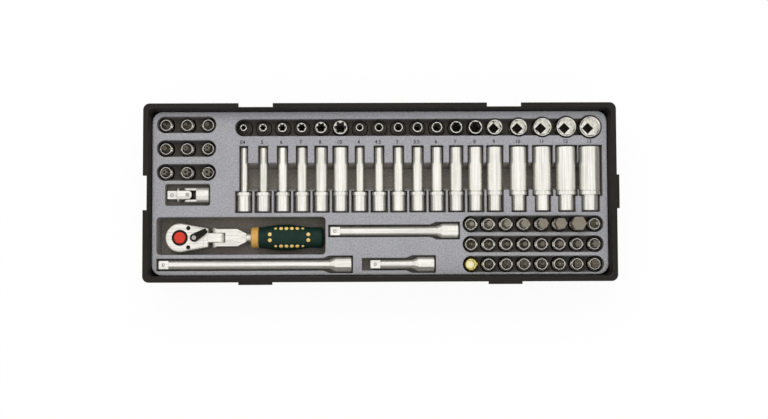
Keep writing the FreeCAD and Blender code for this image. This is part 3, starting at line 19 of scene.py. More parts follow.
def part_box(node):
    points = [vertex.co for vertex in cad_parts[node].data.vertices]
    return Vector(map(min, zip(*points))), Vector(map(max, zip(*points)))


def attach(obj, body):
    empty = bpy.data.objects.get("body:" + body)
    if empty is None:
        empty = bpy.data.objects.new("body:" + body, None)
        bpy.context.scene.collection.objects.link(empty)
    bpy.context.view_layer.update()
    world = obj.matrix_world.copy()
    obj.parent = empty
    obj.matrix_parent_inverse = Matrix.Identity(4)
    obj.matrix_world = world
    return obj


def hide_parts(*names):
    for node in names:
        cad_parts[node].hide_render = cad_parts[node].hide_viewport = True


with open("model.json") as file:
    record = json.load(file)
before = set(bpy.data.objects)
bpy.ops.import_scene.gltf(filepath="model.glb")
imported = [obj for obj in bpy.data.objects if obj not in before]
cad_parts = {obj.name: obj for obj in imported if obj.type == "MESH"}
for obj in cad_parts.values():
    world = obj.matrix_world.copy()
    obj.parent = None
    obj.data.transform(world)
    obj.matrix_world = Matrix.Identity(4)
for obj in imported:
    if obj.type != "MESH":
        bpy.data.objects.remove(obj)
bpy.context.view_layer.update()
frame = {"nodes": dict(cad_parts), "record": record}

nodes = frame["nodes"]

# %% [markdown]
# ## Shader maths as Python
#
# A finish is a graph of shader nodes. Written out node by node it is long and hard to read, so one
# small class wraps a socket and gives it Python's operators: `0.3 + grain * 0.2` then adds the two
# Math nodes by itself. The reflected forms let a plain number stand on the left.


# %% A socket with operators
class Socket:
    """One output of a shader node, on which Python's operators add Math nodes."""

    def __init__(self, graph, output):
        self.graph = graph
        self.output = output

    def maths(self, operation, first, second):
        return self.graph.node("ShaderNodeMath", {"operation": operation}, {0: first, 1: second})

    def __add__(self, other):
        return self.maths("ADD", self, other)

    def __sub__(self, other):
        return self.maths("SUBTRACT", self, other)

    def __rsub__(self, other):
        return self.maths("SUBTRACT", other, self)

    def __mul__(self, other):
        return self.maths("MULTIPLY", self, other)

    __radd__ = __add__
    __rmul__ = __mul__


print("sockets add, subtract and multiply")

# %% [markdown]
# ## One method for every node
#
# All other nodes come from one method: it takes the node's type, then its settings, then the values
# or links of its sockets. Settings go first because some of them change which sockets a node has. The
# few nodes that every finish needs, such as noise of a known size in millimetres, get a short method
# of their own on top of it. An edge is found by its rounding: where a normal rounded by a Bevel node
# leaves the true one by a little, an edge begins, and where it leaves it by more, the edge is full.

# %% A graph of nodes
MM_PER_METRE = 1000
BEVEL_SAMPLES = 6
EDGE_BEGINS = 0.02
EDGE_IS_FULL = 0.3


class Graph:
    """The nodes of one material, or of the world."""

    def __init__(self, tree):
        self.tree = tree

    def node(self, kind, settings, inputs, output=0):
        """Add a node and return one of its outputs."""
        added = self.tree.nodes.new(kind)
        for name, value in settings.items():
            setattr(added, name, value)
        for key, value in inputs.items():
            self.feed(added.inputs[key], value)
        return Socket(self, added.outputs[output])

    def feed(self, socket, value):
        """Link a socket, or set its constant."""
        if isinstance(value, Socket):
            self.tree.links.new(value.output, socket)
        else:
            socket.default_value = value

    def noise(self, size, detail=2, stretch=(1, 1, 1)):
        """Return noise with grains of a size in millimetres, drawn out along an axis by a small stretch."""
        point = self.node("ShaderNodeTexCoord", {}, {}, "Object")
        scale = [MM_PER_METRE / size * factor for factor in stretch]
        place = self.node("ShaderNodeVectorMath", {"operation": "MULTIPLY"}, {0: point, 1: scale})
        return self.node("ShaderNodeTexNoise", {}, {"Vector": place, "Scale": 1.0, "Detail": detail})

    def mix(self, factor, first, second):
        """Return a colour between two others."""
        return self.node("ShaderNodeMix", {"data_type": "RGBA"}, {0: factor, 6: first, 7: second}, 2)

    def steps(self, value, low, high):
        """Return 0 below one value and 1 above another, with a smooth rise between them."""
        return self.node("ShaderNodeMapRange", {"interpolation_type": "SMOOTHSTEP"},
                         {"Value": value, "From Min": low, "From Max": high})

    def rounded(self, radius):
        """Return the normal of a surface whose edges are rounded by a radius in millimetres."""
        return self.node("ShaderNodeBevel", {"samples": BEVEL_SAMPLES}, {"Radius": radius / MM_PER_METRE})

    def edges(self, radius):
        """Return 0 on flat and gently curved faces, and up to 1 within a radius in millimetres of edges."""
        flat = self.node("ShaderNodeNewGeometry", {}, {}, "Normal")
        agree = self.node("ShaderNodeVectorMath", {"operation": "DOT_PRODUCT"},
                          {0: flat, 1: self.rounded(radius)}, "Value")
        return self.steps(1.0 - agree, EDGE_BEGINS, EDGE_IS_FULL)

    def relief(self, height, depth, edge):
        """Return a normal with relief of a depth, on edges rounded by a radius, both in millimetres."""
        return self.node("ShaderNodeBump", {},
                         {"Distance": depth / MM_PER_METRE, "Height": height, "Normal": self.rounded(edge)})


print("graphs round edges with", BEVEL_SAMPLES, "samples")

# %% [markdown]
# ## Finishes and colours
#
# Every finish starts from Blender's Principled shader. What is the same all over a surface is set on
# the shader's own sockets, and only what changes is linked. A colour is easiest to choose as it looks
# on the screen, from 0 to 255, but a shader counts light, so a helper turns one into the other by the
# screen's standard curve. No real surface has a single colour: each finish lies between two tones.


# %% Finishes and colours
def new_finish(name, constants):
    """Start a material whose constants are set on its shader's own sockets."""
    material = bpy.data.materials.new(name)
    material.use_nodes = True
    graph = Graph(material.node_tree)
    shader = material.node_tree.nodes["Principled BSDF"]
    for socket, value in constants.items():
        shader.inputs[socket].default_value = value
    return material, graph, shader.inputs


def screen_colour(red, green, blue):
    """Return a screen colour, from 0 to 255, in the linear values that a shader takes."""
    shares = [channel / 255 for channel in (red, green, blue)]
    linear = [share / 12.92 if share < 0.04045 else ((share + 0.055) / 1.055) ** 2.4 for share in shares]
    return linear + [1.0]


def tones(dark, light):
    """Return the darkest and the lightest colour of a finish, both chosen on the screen."""
    return screen_colour(*dark), screen_colour(*light)


print("mid grey on the screen is", round(screen_colour(128, 128, 128)[0], 3), "in a shader")

# %% [markdown]
# ## The tray's plastic
#
# The tray is injection moulded in a warm black with a fine spark-eroded grain that scatters the
# light. An image could hold that grain, but noise does the same at any distance and needs no
# unwrapping. The edges are rounded in the shader by a Bevel node, which is cheaper than rounding
# every edge of the mesh. On those edges the plastic is rubbed a little paler in patches, as on a tray
# that slides in and out of a drawer.

# %% Tray plastic
TRAY_BLACK = tones((17, 15, 13), (44, 41, 37))
RUBBED_BLACK = screen_colour(92, 87, 80)
RUBBED_SHARE = 0.6


def tray_plastic():
    """Return a grained black plastic with rubbed edges."""
    material, graph, inputs = new_finish("tray_plastic", {"Specular IOR Level": 0.15})
    grain = graph.noise(size=0.6, detail=3)
    flow = graph.noise(size=45)
    unshaded = graph.mix(0.55 * grain + 0.45 * flow, *TRAY_BLACK)
    patches = graph.steps(graph.noise(size=6, detail=3), low=0.35, high=0.7)
    rubbed = graph.edges(radius=0.9) * patches * RUBBED_SHARE
    graph.feed(inputs["Base Color"], graph.mix(rubbed, unshaded, RUBBED_BLACK))
    graph.feed(inputs["Roughness"], 0.5 + 0.22 * grain)
    graph.feed(inputs["Normal"], graph.relief(grain, depth=0.08, edge=0.7))
    return material


nodes["tray_shell"].data.materials[0] = tray_plastic()
print("tray is", nodes["tray_shell"].data.materials[0].name)

# %% [markdown]
# ## Where the insert gets painted shade
#
# The channels of the standing tools are painted much darker than the open beds, as shade for the
# little light that reaches them. Shadow alone doesn't give that in a render, so the finish is told
# where the channels are. Painting a mask by hand would work once, but boxes around the rows, taken
# from the frame, stay right when a row moves.

# %% Painted shade in the channels of the standing tools
# Soft edge of the painted shade around the rows of standing tools.
CHANNEL_EDGE = 0.0015
STANDING_ROWS = [
    ("short_star_sockets", "short_socket_13"),
    ("security_bit_sockets",),
    ("hex_bit_sockets",),
    ("star_bit_sockets",),
    ("bit_adapter", "screw_bit_sockets"),
]


def row_shade_mask(graph, point, names):
    """Return 1 over the boxes of a row's nodes seen from above, and 0 beyond a soft edge around them."""
    boxes = [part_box(name) for name in names]
    mask = 1.0
    for axis, letter in enumerate("XY"):
        along = graph.node("ShaderNodeSeparateXYZ", {}, {0: point}, letter)
        low = min(box[0][axis] for box in boxes)
        high = max(box[1][axis] for box in boxes)
        mask = mask * graph.steps(along, low - CHANNEL_EDGE, low)
        mask = mask * (1.0 - graph.steps(along, high, high + CHANNEL_EDGE))
    return mask


def channel_shade_mask(graph, point):
    """Return 1 over the rows of standing tools, where the insert gets painted shade, and 0 elsewhere."""
    mask = 0.0
    for names in STANDING_ROWS:
        mask = mask + row_shade_mask(graph, point, names)
    return mask


print("channels:", len(STANDING_ROWS))

# %% [markdown]
# ## The flocked insert
#
# The insert is a grey moulding covered with short fibres, so it has no gloss, a fine speckle and soft
# edges. The beds are painted browner and darker, as shade for the little light that falls into them. A
# height mask does that: the depth of a point below the top, in millimetres, decides how far the colour
# goes from the grey top to the painted shade of the beds. Edges of the top get a painted highlight.

# %% Flocked insert
# Depths over which the painted shade of the beds sets in.
UNSHADED_DEPTH = 0.2
FULL_SHADE_DEPTH = 2.5
TOP_GREY = tones((122, 122, 126), (180, 180, 184))
# Colours of the painted shade in the beds and, darker, in the channels.
BED_SHADE_BROWN = tones((98, 92, 87), (150, 143, 136))
CHANNEL_SHADE_BROWN = tones((50, 47, 43), (78, 74, 69))
# Colour and share of the painted highlight on the edges of the top.
PAINTED_EDGE_HIGHLIGHT = screen_colour(205, 205, 208)
PAINTED_HIGHLIGHT_SHARE = 0.35
insert_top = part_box("tool_insert")[1].z * MM_PER_METRE


def flocked_insert():
    """Return a grey flock with painted shade in the beds and channels and a painted highlight on top edges.
    """
    constants = {"Specular IOR Level": 0.15, "Sheen Weight": 0.1}
    material, graph, inputs = new_finish("flocked_insert", constants)
    point = graph.node("ShaderNodeTexCoord", {}, {}, "Object")
    height = graph.node("ShaderNodeSeparateXYZ", {}, {0: point}, "Z") * MM_PER_METRE
    # Painted shade: below the top the colour darkens and browns with depth.
    unshaded = graph.steps(height, insert_top - FULL_SHADE_DEPTH, insert_top - UNSHADED_DEPTH)
    fibre = graph.noise(size=0.35)
    speckle = graph.steps(graph.noise(size=1.3), low=0.3, high=0.7)
    cloud = graph.noise(size=24, detail=3)
    tone = 0.35 * fibre + 0.4 * speckle + 0.25 * cloud
    bed_shade, channel, top = [graph.mix(tone, *colours) for colours in (BED_SHADE_BROWN, CHANNEL_SHADE_BROWN, TOP_GREY)]
    # Painted shade: the channels of the standing tools are darker than the beds.
    faces = graph.mix(unshaded, graph.mix(channel_shade_mask(graph, point), bed_shade, channel), top)
    # Painted highlight: the edges of the top are paler.
    painted_highlight = graph.edges(radius=0.9) * unshaded * PAINTED_HIGHLIGHT_SHARE
    graph.feed(inputs["Base Color"], graph.mix(painted_highlight, faces, PAINTED_EDGE_HIGHLIGHT))
    graph.feed(inputs["Roughness"], 0.85 + 0.12 * fibre)
    graph.feed(inputs["Normal"], graph.relief(fibre, depth=0.12, edge=1.3))
    return material


nodes["tool_insert"].data.materials[0] = flocked_insert()
print("insert's top is at", round(insert_top, 2), "mm")

# %% [markdown]
# ## Chrome plate
#
# Sockets and bars are turned, polished lengthwise and chromed. Flat, perfect chrome looks like a
# mirror ball, so the finish has long faint streaks along the tool, partly polish lines and partly
# painted reflections in the colour, and smudges that change the roughness. The plate is thickest and
# most polished on the edges, which are therefore the smoothest.

# %% Chrome
STREAK_STRETCH = 0.02
SMUDGE_ROUGHNESS = 0.16
EDGE_POLISH = 0.06


def chrome(name, along, colours, polish, metal):
    """Return a plated finish with streaks along an axis, partly painted reflections; metal is the mirrored
    share of its shine.
    """
    material, graph, inputs = new_finish(name, {"Metallic": metal})
    stretch = [STREAK_STRETCH if axis == along else 1.0 for axis in "XYZ"]
    polish_and_reflection_streak = graph.noise(size=0.9, detail=3, stretch=stretch)
    smudge = graph.noise(size=5, detail=3)
    # Partly painted reflection: the streaks lighten and darken the colour as reflected lines would.
    tone = 0.65 * graph.steps(polish_and_reflection_streak, low=0.3, high=0.6) + 0.35 * smudge
    graph.feed(inputs["Base Color"], graph.mix(tone, *colours))
    handled = polish + SMUDGE_ROUGHNESS * smudge
    graph.feed(inputs["Roughness"], handled - EDGE_POLISH * graph.edges(radius=0.3))
    graph.feed(inputs["Normal"], graph.relief(polish_and_reflection_streak, depth=0.012, edge=0.3))
    return material


print("chrome's streaks are drawn out", round(1 / STREAK_STRETCH), "times")

# %% [markdown]
# ## The chromed tools
#
# The streaks follow the axis on which a tool lies, so each direction gets its own copy of the finish.
# The tools that lie are pearl chromed: they were blasted before plating, so a part of their shine is
# scattered like paint's and their sides stay bright between the walls of a bed. Standing tools are
# polished and mirror everything. The ratchet's forgings and the universal joint are duller, in satin.

# %% Chromed tools
PEARL = 0.7
POLISHED = 1.0
BRIGHT = tones((204, 201, 192), (250, 248, 240))
SATIN = tones((204, 200, 192), (244, 241, 233))
chromes = {}
for along, metal in {"X": PEARL, "Y": PEARL, "Z": POLISHED}.items():
    chromes[along] = chrome(f"chrome_along_{along}", along, BRIGHT, polish=0.16, metal=metal)
satin = chrome("satin_chrome", "X", SATIN, polish=0.26, metal=PEARL)
for name, node in nodes.items():
    if "deep" in name:
        node.data.materials[0] = chromes["Y"]
    elif "short" in name or name.endswith("bit_sockets"):
        node.data.materials[0] = chromes["Z"]
    elif name.startswith("extension"):
        node.data.materials[0] = chromes["X"]
for name in ("ratchet_head", "head_cover", "flex_fork", "joint_socket_end", "joint_drive_end"):
    nodes[name].data.materials[0] = satin
print("chromed along", ", ".join(chromes))

# %% [markdown]
# ## Bare and blackened steel
#
# The hexagon bits are bead-blasted to a dull pale grey, and the other bits are darker. The drive, the
# pawl, the screws and the reversing lever are blackened, and pins, springs and balls are ground bright.
# All are the same metal with a different colour and roughness, so one function makes them.


# %% Steels
def blasted(name, colours, rough):
    """Return a bare steel with a beaded surface."""
    material, graph, inputs = new_finish(name, {"Metallic": 1.0})
    bead = graph.noise(size=0.25)
    stain = graph.noise(size=4, detail=3)
    graph.feed(inputs["Base Color"], graph.mix(0.5 * bead + 0.5 * stain, *colours))
    graph.feed(inputs["Roughness"], rough + 0.2 * bead)
    graph.feed(inputs["Normal"], graph.relief(bead, depth=0.03, edge=0.2))
    return material


pale_steel = blasted("blasted_steel", tones((120, 113, 101), (166, 159, 144)), rough=0.5)
dark_steel = blasted("dark_bit_steel", tones((82, 76, 68), (138, 130, 118)), rough=0.4)
black_steel = blasted("blackened_steel", tones((26, 24, 22), (56, 53, 49)), rough=0.4)
pin_steel = blasted("ground_pin_steel", tones((150, 147, 142), (206, 203, 198)), rough=0.2)
steels = {
    pale_steel: ("hex_bits",),
    dark_steel: ("star_bits", "screw_bits", "security_bits"),
    black_steel: ("drive_gear", "pawl", "reversing_lever", "cover_screws", "joint_cross"),
    pin_steel: ("pawl_spring", "button_spring", "flex_detent", "flex_pin", "joint_pins",
                "drive_detent_ball"),
}
for steel, names in steels.items():
    for name in names:
        nodes[name].data.materials[0] = steel
print("steels:", ", ".join(steel.name for steel in steels))

# %% [markdown]
# ## Brass and the ratchet's plastics
#
# The bit adapter is brass plated. The grip is a dark green plastic with a dull gloss, the ferrule in
# front of it is orange and the release button red. A plastic's colour lies in its body, so these
# finishes are not metallic: a little mottling, worn gloss and the strength of the shine say what they
# are. A dark plastic needs a weak one, or the white room greys it.

# %% Brass and plastics
BRASS = tones((200, 180, 80), (244, 230, 146))
GREEN = tones((9, 25, 20), (22, 48, 39))
ORANGE = tones((178, 132, 62), (212, 172, 98))
RED = tones((188, 44, 30), (212, 66, 46))


def plastic(name, colours, rough, shine):
    """Return a mottled plastic whose gloss is worn by handling."""
    material, graph, inputs = new_finish(name, {"Specular IOR Level": shine})
    mottle = graph.noise(size=3.5, detail=3)
    handling = graph.noise(size=0.4)
    graph.feed(inputs["Base Color"], graph.mix(mottle, *colours))
    graph.feed(inputs["Roughness"], rough + 0.15 * handling)
    graph.feed(inputs["Normal"], graph.relief(handling, depth=0.02, edge=0.3))
    return material


finishes = {
    "bit_adapter": chrome("brass_plate", "Z", BRASS, polish=0.18, metal=POLISHED),
    "handle_grip": plastic("green_grip", GREEN, rough=0.42, shine=0.18),
    "handle_ferrule": plastic("orange_ferrule", ORANGE, rough=0.35, shine=0.3),
    "release_button": plastic("red_button", RED, rough=0.4, shine=0.3),
}
for name, material in finishes.items():
    nodes[name].data.materials[0] = material
print("finished", ", ".join(finishes))

# %% [markdown]
# ## Two finishes on one piece
#
# Some pieces carry a second metal. The hub of the black reversing lever has a bright steel cap, and in
# the brass adapter lies a magnet, coloured pale brass as a painted reflection of the brass around it.
# Both are already in the mesh, so it is enough to hand their faces a second material slot: a test on
# the middle of each face picks them out, and no shape changes.

# %% Cap and magnet
CAP_RADIUS = 0.0018
CAP_DEPTH = 0.0006
MAGNET_RADIUS = 0.0031
# Pale brass of the magnet: a painted reflection of the brass around it.
MAGNET_REFLECTION_BRASS = tones((238, 226, 160), (253, 248, 214))


def node_middle(name):
    """Return the middle of a node's box."""
    low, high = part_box(name)
    return (low + high) / 2


def second_finish(node, material, chosen):
    """Give the faces whose middles pass a test a second material, and return how many they are."""
    mesh = node.data
    mesh.materials.append(material)
    faces = [face for face in mesh.polygons if chosen(face.center)]
    for face in faces:
        face.material_index = len(mesh.materials) - 1
    return len(faces)


def upright_core(centre, radius, bottom):
    """Return a test for points inside an upright cylinder above a height."""
    return lambda point: (point - centre).xy.length < radius and point.z > bottom


joints = {joint["name"]: joint for joint in frame["record"]["behaviour"]["joints"]}
lever_pivot = Vector(joints["lever_turn"]["pos_m"])
lever_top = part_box("reversing_lever")[1].z
lever_cap = upright_core(lever_pivot, CAP_RADIUS, lever_top - CAP_DEPTH)
cap_faces = second_finish(nodes["reversing_lever"], pin_steel, lever_cap)
adapter_middle = node_middle("bit_adapter")
magnet = upright_core(adapter_middle, MAGNET_RADIUS, adapter_middle.z)
# Painted reflection: the magnet's colour stands for the brass that it mirrors.
magnet_painted_reflection = chrome("magnet_painted_reflection", "Z", MAGNET_REFLECTION_BRASS, polish=0.2, metal=POLISHED)
magnet_faces = second_finish(nodes["bit_adapter"], magnet_painted_reflection, magnet)
print("second finish on", cap_faces, "faces of the lever and", magnet_faces, "of the adapter")

# %% [markdown]
# ## The collars in painted shade
#
# The small standing sockets show a bright mouth inside a dark ring: their collars, down in the holes,
# are painted dark as shade. A collar lies in a band of heights above its socket's base, the same on
# every size, so the same kind of test picks out its faces.

# %% Collars
COLLARED = ["star_sockets"] + ["socket_" + size for size in ("4", "4_5", "5", "5_5", "6", "7", "8")]
COLLAR_START = 0.0129
COLLAR_END = 0.0162


def collar_band(base):
    """Return a test for points in the band of a standing socket that holds its collar."""
    return lambda point: COLLAR_START < point.z - base < COLLAR_END


# Painted shade: a dark steel on the collars, where the holes shade them.
collar_painted_shade = blasted("collar_painted_shade", tones((50, 47, 43), (84, 80, 74)), rough=0.4)
collar_faces = 0
for name in COLLARED:
    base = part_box("short_" + name)[0].z
    collar_faces += second_finish(nodes["short_" + name], collar_painted_shade, collar_band(base))
print("dark collars have", collar_faces, "faces")

# %% [markdown]
# ## The columns of sizes
#
# A small number between the two rows says which socket belongs in which bed. The places could be
# measured one by one, but they follow from the frame: the hexagon columns from their own sockets, and
# the star columns from the pitch of the small columns beside them.

# %% Columns of sizes
STAR_SIZES = ["E4", "5", "6", "7", "8", "10"]
HEX_SIZES = ["4", "4.5", "5", "5.5", "6", "7", "8", "9", "10", "11", "12", "13"]


def label_columns():
    """Return each printed size with the place of its column along the tray."""
    hexes = [node_middle("deep_socket_" + size.replace(".", "_")).x for size in HEX_SIZES]
    pitch = hexes[1] - hexes[0]
    stars = [hexes[0] - pitch * (len(STAR_SIZES) - column) for column in range(len(STAR_SIZES))]
    return list(zip(STAR_SIZES + HEX_SIZES, stars + hexes))


print("columns:", len(label_columns()))

# %% [markdown]
# ## The printed sizes
#
# Text objects give the outlines of the numbers, and one mesh made from them is lighter than eighteen
# separate objects. The ink has a little thickness and lies on the insert's top, because two faces in
# the same plane flicker. It also spreads a little into the fibres, which makes the strokes bolder.

# %% Printed sizes
LABEL_HEIGHT = 0.0040
LABEL_GAP = 0.0039
LABEL_SHIFT = -0.0008
INK_THICKNESS = 0.00004
INK_SPREAD = 0.00006
INK_BLACK = tones((28, 27, 27), (58, 56, 57))


def text_mesh(text, height):
    """Return the thin mesh of a centred line of text."""
    curve = bpy.data.curves.new("size_text", "FONT")
    curve.body = text
    curve.size = height
    curve.align_x = "CENTER"
    curve.align_y = "CENTER"
    curve.extrude = INK_THICKNESS
    curve.offset = INK_SPREAD
    writer = bpy.data.objects.new("size_text", curve)
    mesh = bpy.data.meshes.new_from_object(writer)
    bpy.data.objects.remove(writer)
    return mesh


def new_piece(name, mesh_maker, body, material):
    """Make an object from a bmesh, give it a finish and let it ride on a body."""
    mesh = bpy.data.meshes.new(name)
    mesh_maker.to_mesh(mesh)
    mesh_maker.free()
    mesh.materials.append(material)
    piece = bpy.data.objects.new(name, mesh)
    bpy.context.scene.collection.objects.link(piece)
    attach(piece, body)
    return piece


ink = plastic("label_ink", INK_BLACK, rough=0.6, shine=0.1)
print_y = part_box("deep_socket_13")[1].y + LABEL_GAP
print_z = insert_top / MM_PER_METRE + INK_THICKNESS
labels = bmesh.new()
for text, x in label_columns():
    start = len(labels.verts)
    labels.from_mesh(text_mesh(text, LABEL_HEIGHT))
    labels.verts.ensure_lookup_table()
    bmesh.ops.translate(labels, verts=labels.verts[start:], vec=(x + LABEL_SHIFT, print_y, print_z))
size_labels = new_piece("size_labels", labels, "case", ink)
print("printed sizes have", len(size_labels.data.polygons), "faces")

# %% [markdown]
# ## The places of the grip's studs
#
# The grip has raised dots in two rows along its sides and a pair at each end, and the dots at the ends
# of the rows are smaller. Two pitches and two distances from the grip's middle line give all of them,
# so a loop works the places out.

# %% Places of the studs
STUDS_IN_ROW = 6
STUD_PITCH = 0.0042
STUD_ROW = 0.0069
PAIR_PLACE = 0.0149
PAIR_ROW = 0.0023
STUD_RADIUS = 0.00155
END_STUD_RADIUS = 0.00115


def stud_places():
    """Return the places of the studs along and across the grip, with their radii."""
    places = []
    for side in (-1, 1):
        for index in range(STUDS_IN_ROW):
            radius = END_STUD_RADIUS if index in (0, STUDS_IN_ROW - 1) else STUD_RADIUS
            places.append(((index - (STUDS_IN_ROW - 1) / 2) * STUD_PITCH, side * STUD_ROW, radius))
        places += [(end * PAIR_PLACE, side * PAIR_ROW, STUD_RADIUS) for end in (-1, 1)]
    return places


print("studs:", len(stud_places()))

# %% [markdown]
# ## The grip's studs
#
# The studs could be painted on, but domes catch the light as the real ones do. The grip swells and
# narrows, so a ray cast straight down on its mesh finds where each dome stands and which way it leans,
# whatever the profile is.

# %% Grip studs
STUD_RISE = 0.4
STUDS_OFFSET = -0.0012
STUD_YELLOW = tones((214, 174, 92), (240, 210, 134))

grip_low, grip_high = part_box("handle_grip")
grip_middle = node_middle("handle_grip")
grip_mesh = nodes["handle_grip"].data
grip_surface = BVHTree.FromPolygons([vertex.co for vertex in grip_mesh.vertices],
                                    [face.vertices for face in grip_mesh.polygons])


def add_stud(studs, along, across, radius):
    """Add a low dome that stands on the grip below a point."""
    above = Vector((grip_middle.x + STUDS_OFFSET + along, grip_middle.y + across, grip_high.z + STUD_PITCH))
    place, outward = grip_surface.ray_cast(above, Vector((0, 0, -1)))[:2]
    turn = outward.to_track_quat("Z", "Y").to_matrix().to_4x4()
    dome = bmesh.ops.create_uvsphere(studs, u_segments=20, v_segments=12, radius=radius)["verts"]
    bmesh.ops.scale(studs, verts=dome, vec=(1, 1, STUD_RISE))
    bmesh.ops.transform(studs, verts=dome, matrix=turn)
    bmesh.ops.translate(studs, verts=dome, vec=place)


studs = bmesh.new()
for along, across, radius in stud_places():
    add_stud(studs, along, across, radius)
for face in studs.faces:
    face.smooth = True
stud_yellow = plastic("stud_yellow", STUD_YELLOW, rough=0.35, shine=0.3)
grip_studs = new_piece("grip_studs", studs, "ratchet_handle", stud_yellow)
print("studs stand on a grip of", round((grip_high.y - grip_low.y) * MM_PER_METRE, 1), "mm")

# %% [markdown]
# ## Cutting a shape out of a piece
#
# A hole can be built face by face or cut with a tool. Here a Boolean modifier takes one closed shape
# out of another, and its result becomes the piece's own mesh, so that no modifier is left on it. The
# frame's stored normals don't fit the new faces, so they go, and edges that turn sharply are marked
# instead.

# %% A cutter
SHARP_ANGLE = math.radians(30)


def cut_away(piece, cutter):
    """Cut a closed shape out of a piece for good, and keep its edges sharp."""
    cut = piece.modifiers.new("cut", "BOOLEAN")
    cut.operation = "DIFFERENCE"
    cut.object = cutter
    bpy.context.view_layer.update()
    mesh = bpy.data.meshes.new_from_object(piece.evaluated_get(bpy.context.evaluated_depsgraph_get()))
    piece.modifiers.remove(cut)
    bpy.data.objects.remove(cutter)
    mesh.attributes.remove(mesh.attributes["custom_normal"])
    mesh.shade_smooth()
    mesh.set_sharp_from_angle(angle=SHARP_ANGLE)
    piece.data = mesh


print("edges stay sharp from", round(math.degrees(SHARP_ANGLE)), "degrees")

# %% [markdown]
# ## The squares seen through the sockets
#
# Looking down into a larger standing socket, one sees the square drive hole, set cornerwise, at the
# bottom of the hexagon. In the frame a narrower round bore joins the two, so here each of these sockets
# is copied, a square prism is cut through the copy's floor and the copy replaces its node. A dark patch
# on the floor would be simpler, but a real hole has walls and looks right from every side. A cut needs
# a closed mesh, so the copy's doubled points are welded first.

# %% Drive squares
PIERCED = ["7", "8", "9", "10", "11", "12", "13"]
SQUARE_SIDE = 0.0063
SQUARE_START = 0.0100
MOUTH_FLOOR = 0.01312
WELD = 1e-7


def square_prism(place, bottom, top):
    """Return an upright square prism, set cornerwise, to cut with."""
    prism = bmesh.new()
    radius = SQUARE_SIDE / math.sqrt(2)
    bmesh.ops.create_cone(prism, cap_ends=True, segments=4, radius1=radius, radius2=radius,
                          depth=top - bottom)
    bmesh.ops.translate(prism, verts=prism.verts, vec=(place.x, place.y, (bottom + top) / 2))
    mesh = bpy.data.meshes.new("square_prism")
    prism.to_mesh(mesh)
    prism.free()
    cutter = bpy.data.objects.new("square_prism", mesh)
    bpy.context.scene.collection.objects.link(cutter)
    return cutter


def pierced_socket(name):
    """Replace a standing socket by a copy whose drive square goes through to the mouth."""
    source = nodes[name].data
    copy = bmesh.new()
    copy.from_mesh(source)
    bmesh.ops.remove_doubles(copy, verts=copy.verts, dist=WELD)
    piece = new_piece("pierced_" + name, copy, name, source.materials[0])
    for material in source.materials[1:]:
        piece.data.materials.append(material)
    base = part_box(name)[0].z
    cut_away(piece, square_prism(node_middle(name), base + SQUARE_START, base + MOUTH_FLOOR))
    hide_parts(name)
    return piece


for size in PIERCED:
    piece = pierced_socket("short_socket_" + size)
    print(piece.name, "has", len(piece.data.polygons), "faces")

# %% [markdown]
# ## The floor
#
# The tray stands on a pure white ground. More light would bleach the tools, so the white comes from
# what is seen: the floor glows for camera, mirror and glass rays, but not so much that the tray's
# shadow is lost. For all other rays it is a plain pale sheet.

# %% Floor
FLOOR_SIZE = 4.0
FLOOR_GLOW = 0.93
PAPER_WHITE = tones((244, 244, 244), (250, 250, 250))


def seen_rays(graph):
    """Return 1 for the rays that show the background, and 0 for the rays that carry its light."""
    seen = graph.node("ShaderNodeLightPath", {}, {}, "Is Camera Ray")
    for kind in ("Is Glossy Ray", "Is Transmission Ray"):
        seen = seen + graph.node("ShaderNodeLightPath", {}, {}, kind)
    return seen


def floor_material():
    """Return a white paper that glows where it is seen."""
    material, graph, inputs = new_finish("white_floor", {"Roughness": 0.9, "Specular IOR Level": 0.1})
    graph.feed(inputs["Base Color"], graph.mix(graph.noise(size=300), *PAPER_WHITE))
    shader = Socket(graph, material.node_tree.nodes["Principled BSDF"].outputs[0])
    glow = graph.node("ShaderNodeEmission", {}, {"Strength": 1.0})
    blend = graph.node("ShaderNodeMixShader", {}, {0: seen_rays(graph) * FLOOR_GLOW, 1: shader, 2: glow})
    graph.feed(material.node_tree.nodes["Material Output"].inputs["Surface"], blend)
    return material


half = FLOOR_SIZE / 2
floor_mesh = bpy.data.meshes.new("floor")
corners = [(-half, -half, 0), (half, -half, 0), (half, half, 0), (-half, half, 0)]
floor_mesh.from_pydata(corners, [], [(0, 1, 2, 3)])
floor_mesh.materials.append(floor_material())
floor = bpy.data.objects.new("floor", floor_mesh)
bpy.context.scene.collection.objects.link(floor)
print("floor of", FLOOR_SIZE, "m")

# %% [markdown]
# ## The world
#
# The room works like the floor: it is white for the rays that show it, so that the chrome mirrors a
# white studio, and a plain grey for the light that falls on the object.

# %% World
WORLD_LIGHT = 0.5
world = bpy.data.worlds.new("studio")
bpy.context.scene.world = world
world.use_nodes = True
sky = Graph(world.node_tree)
light = sky.node("ShaderNodeBackground", {}, {"Strength": WORLD_LIGHT})
white = sky.node("ShaderNodeBackground", {}, {"Color": (1, 1, 1, 1), "Strength": 1.0})
sky.feed(world.node_tree.nodes["World Output"].inputs["Surface"],
         sky.node("ShaderNodeMixShader", {}, {0: seen_rays(sky), 1: light, 2: white}))
print("world lights with", WORLD_LIGHT)

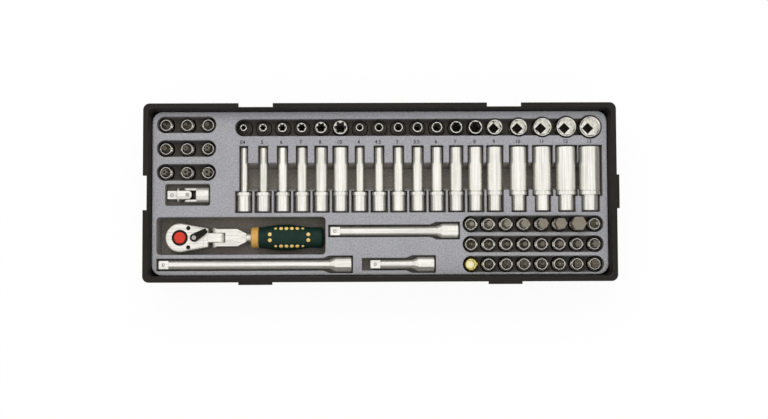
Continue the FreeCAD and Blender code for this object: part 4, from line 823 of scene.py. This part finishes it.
# %% [markdown]
# ## The lamps
#
# The shadows fall towards the front, so the main softbox hangs behind the tray and a weaker one fills
# from the front. A wide one overhead reaches the floors of the beds, which the others can't see. All
# three are hidden from mirror rays, because the chrome would show them as patches of plain white, and
# so it mirrors the white room alone.


# %% Lamps
def softbox(name, place, width, length, watts):
    """Hang a rectangular lamp that points at the middle of the tray."""
    lamp = bpy.data.lights.new(name, "AREA")
    lamp.shape = "RECTANGLE"
    lamp.size = width
    lamp.size_y = length
    lamp.energy = watts
    holder = bpy.data.objects.new(name, lamp)
    holder.location = place
    holder.rotation_euler = (-Vector(place)).to_track_quat("-Z", "Y").to_euler()
    holder.visible_glossy = False
    bpy.context.scene.collection.objects.link(holder)
    print(name, "gives", watts, "watts")


softbox("key_softbox", place=(-0.15, 0.75, 1.05), width=1.2, length=0.6, watts=8)
softbox("fill_softbox", place=(0.5, -0.8, 1.1), width=0.8, length=0.8, watts=3)
softbox("top_softbox", place=(0.0, 0.05, 1.5), width=1.3, length=0.8, watts=8)

# %% [markdown]
# ## The camera
#
# The camera looks almost straight down. Its place in metres and its tilt in radians follow from the
# tray's corners in the picture and the bars' standard lengths. A lens is given by its focal length, so
# the one that was found in pixels of the picture is scaled to the width of the sensor.

# %% Camera
IMAGE_WIDTH = 768
FOCAL_PIXELS = 1200
CAMERA_PLACE = (-0.00476, -0.06114, 0.96617)
CAMERA_TILT = (0.051704, -0.008053, -0.003909)
lens = bpy.data.cameras.new("camera")
lens.sensor_width = 36.0
lens.lens = FOCAL_PIXELS / IMAGE_WIDTH * lens.sensor_width
lens.clip_start = 0.01
camera = bpy.data.objects.new("camera", lens)
camera.location = CAMERA_PLACE
camera.rotation_euler = CAMERA_TILT
bpy.context.scene.collection.objects.link(camera)
bpy.context.scene.camera = camera
bpy.context.scene.view_settings.view_transform = "Standard"
print("lens of", lens.lens, "mm at", CAMERA_PLACE)

# %% [markdown]
# ## The end

# %% End
print("scene set")
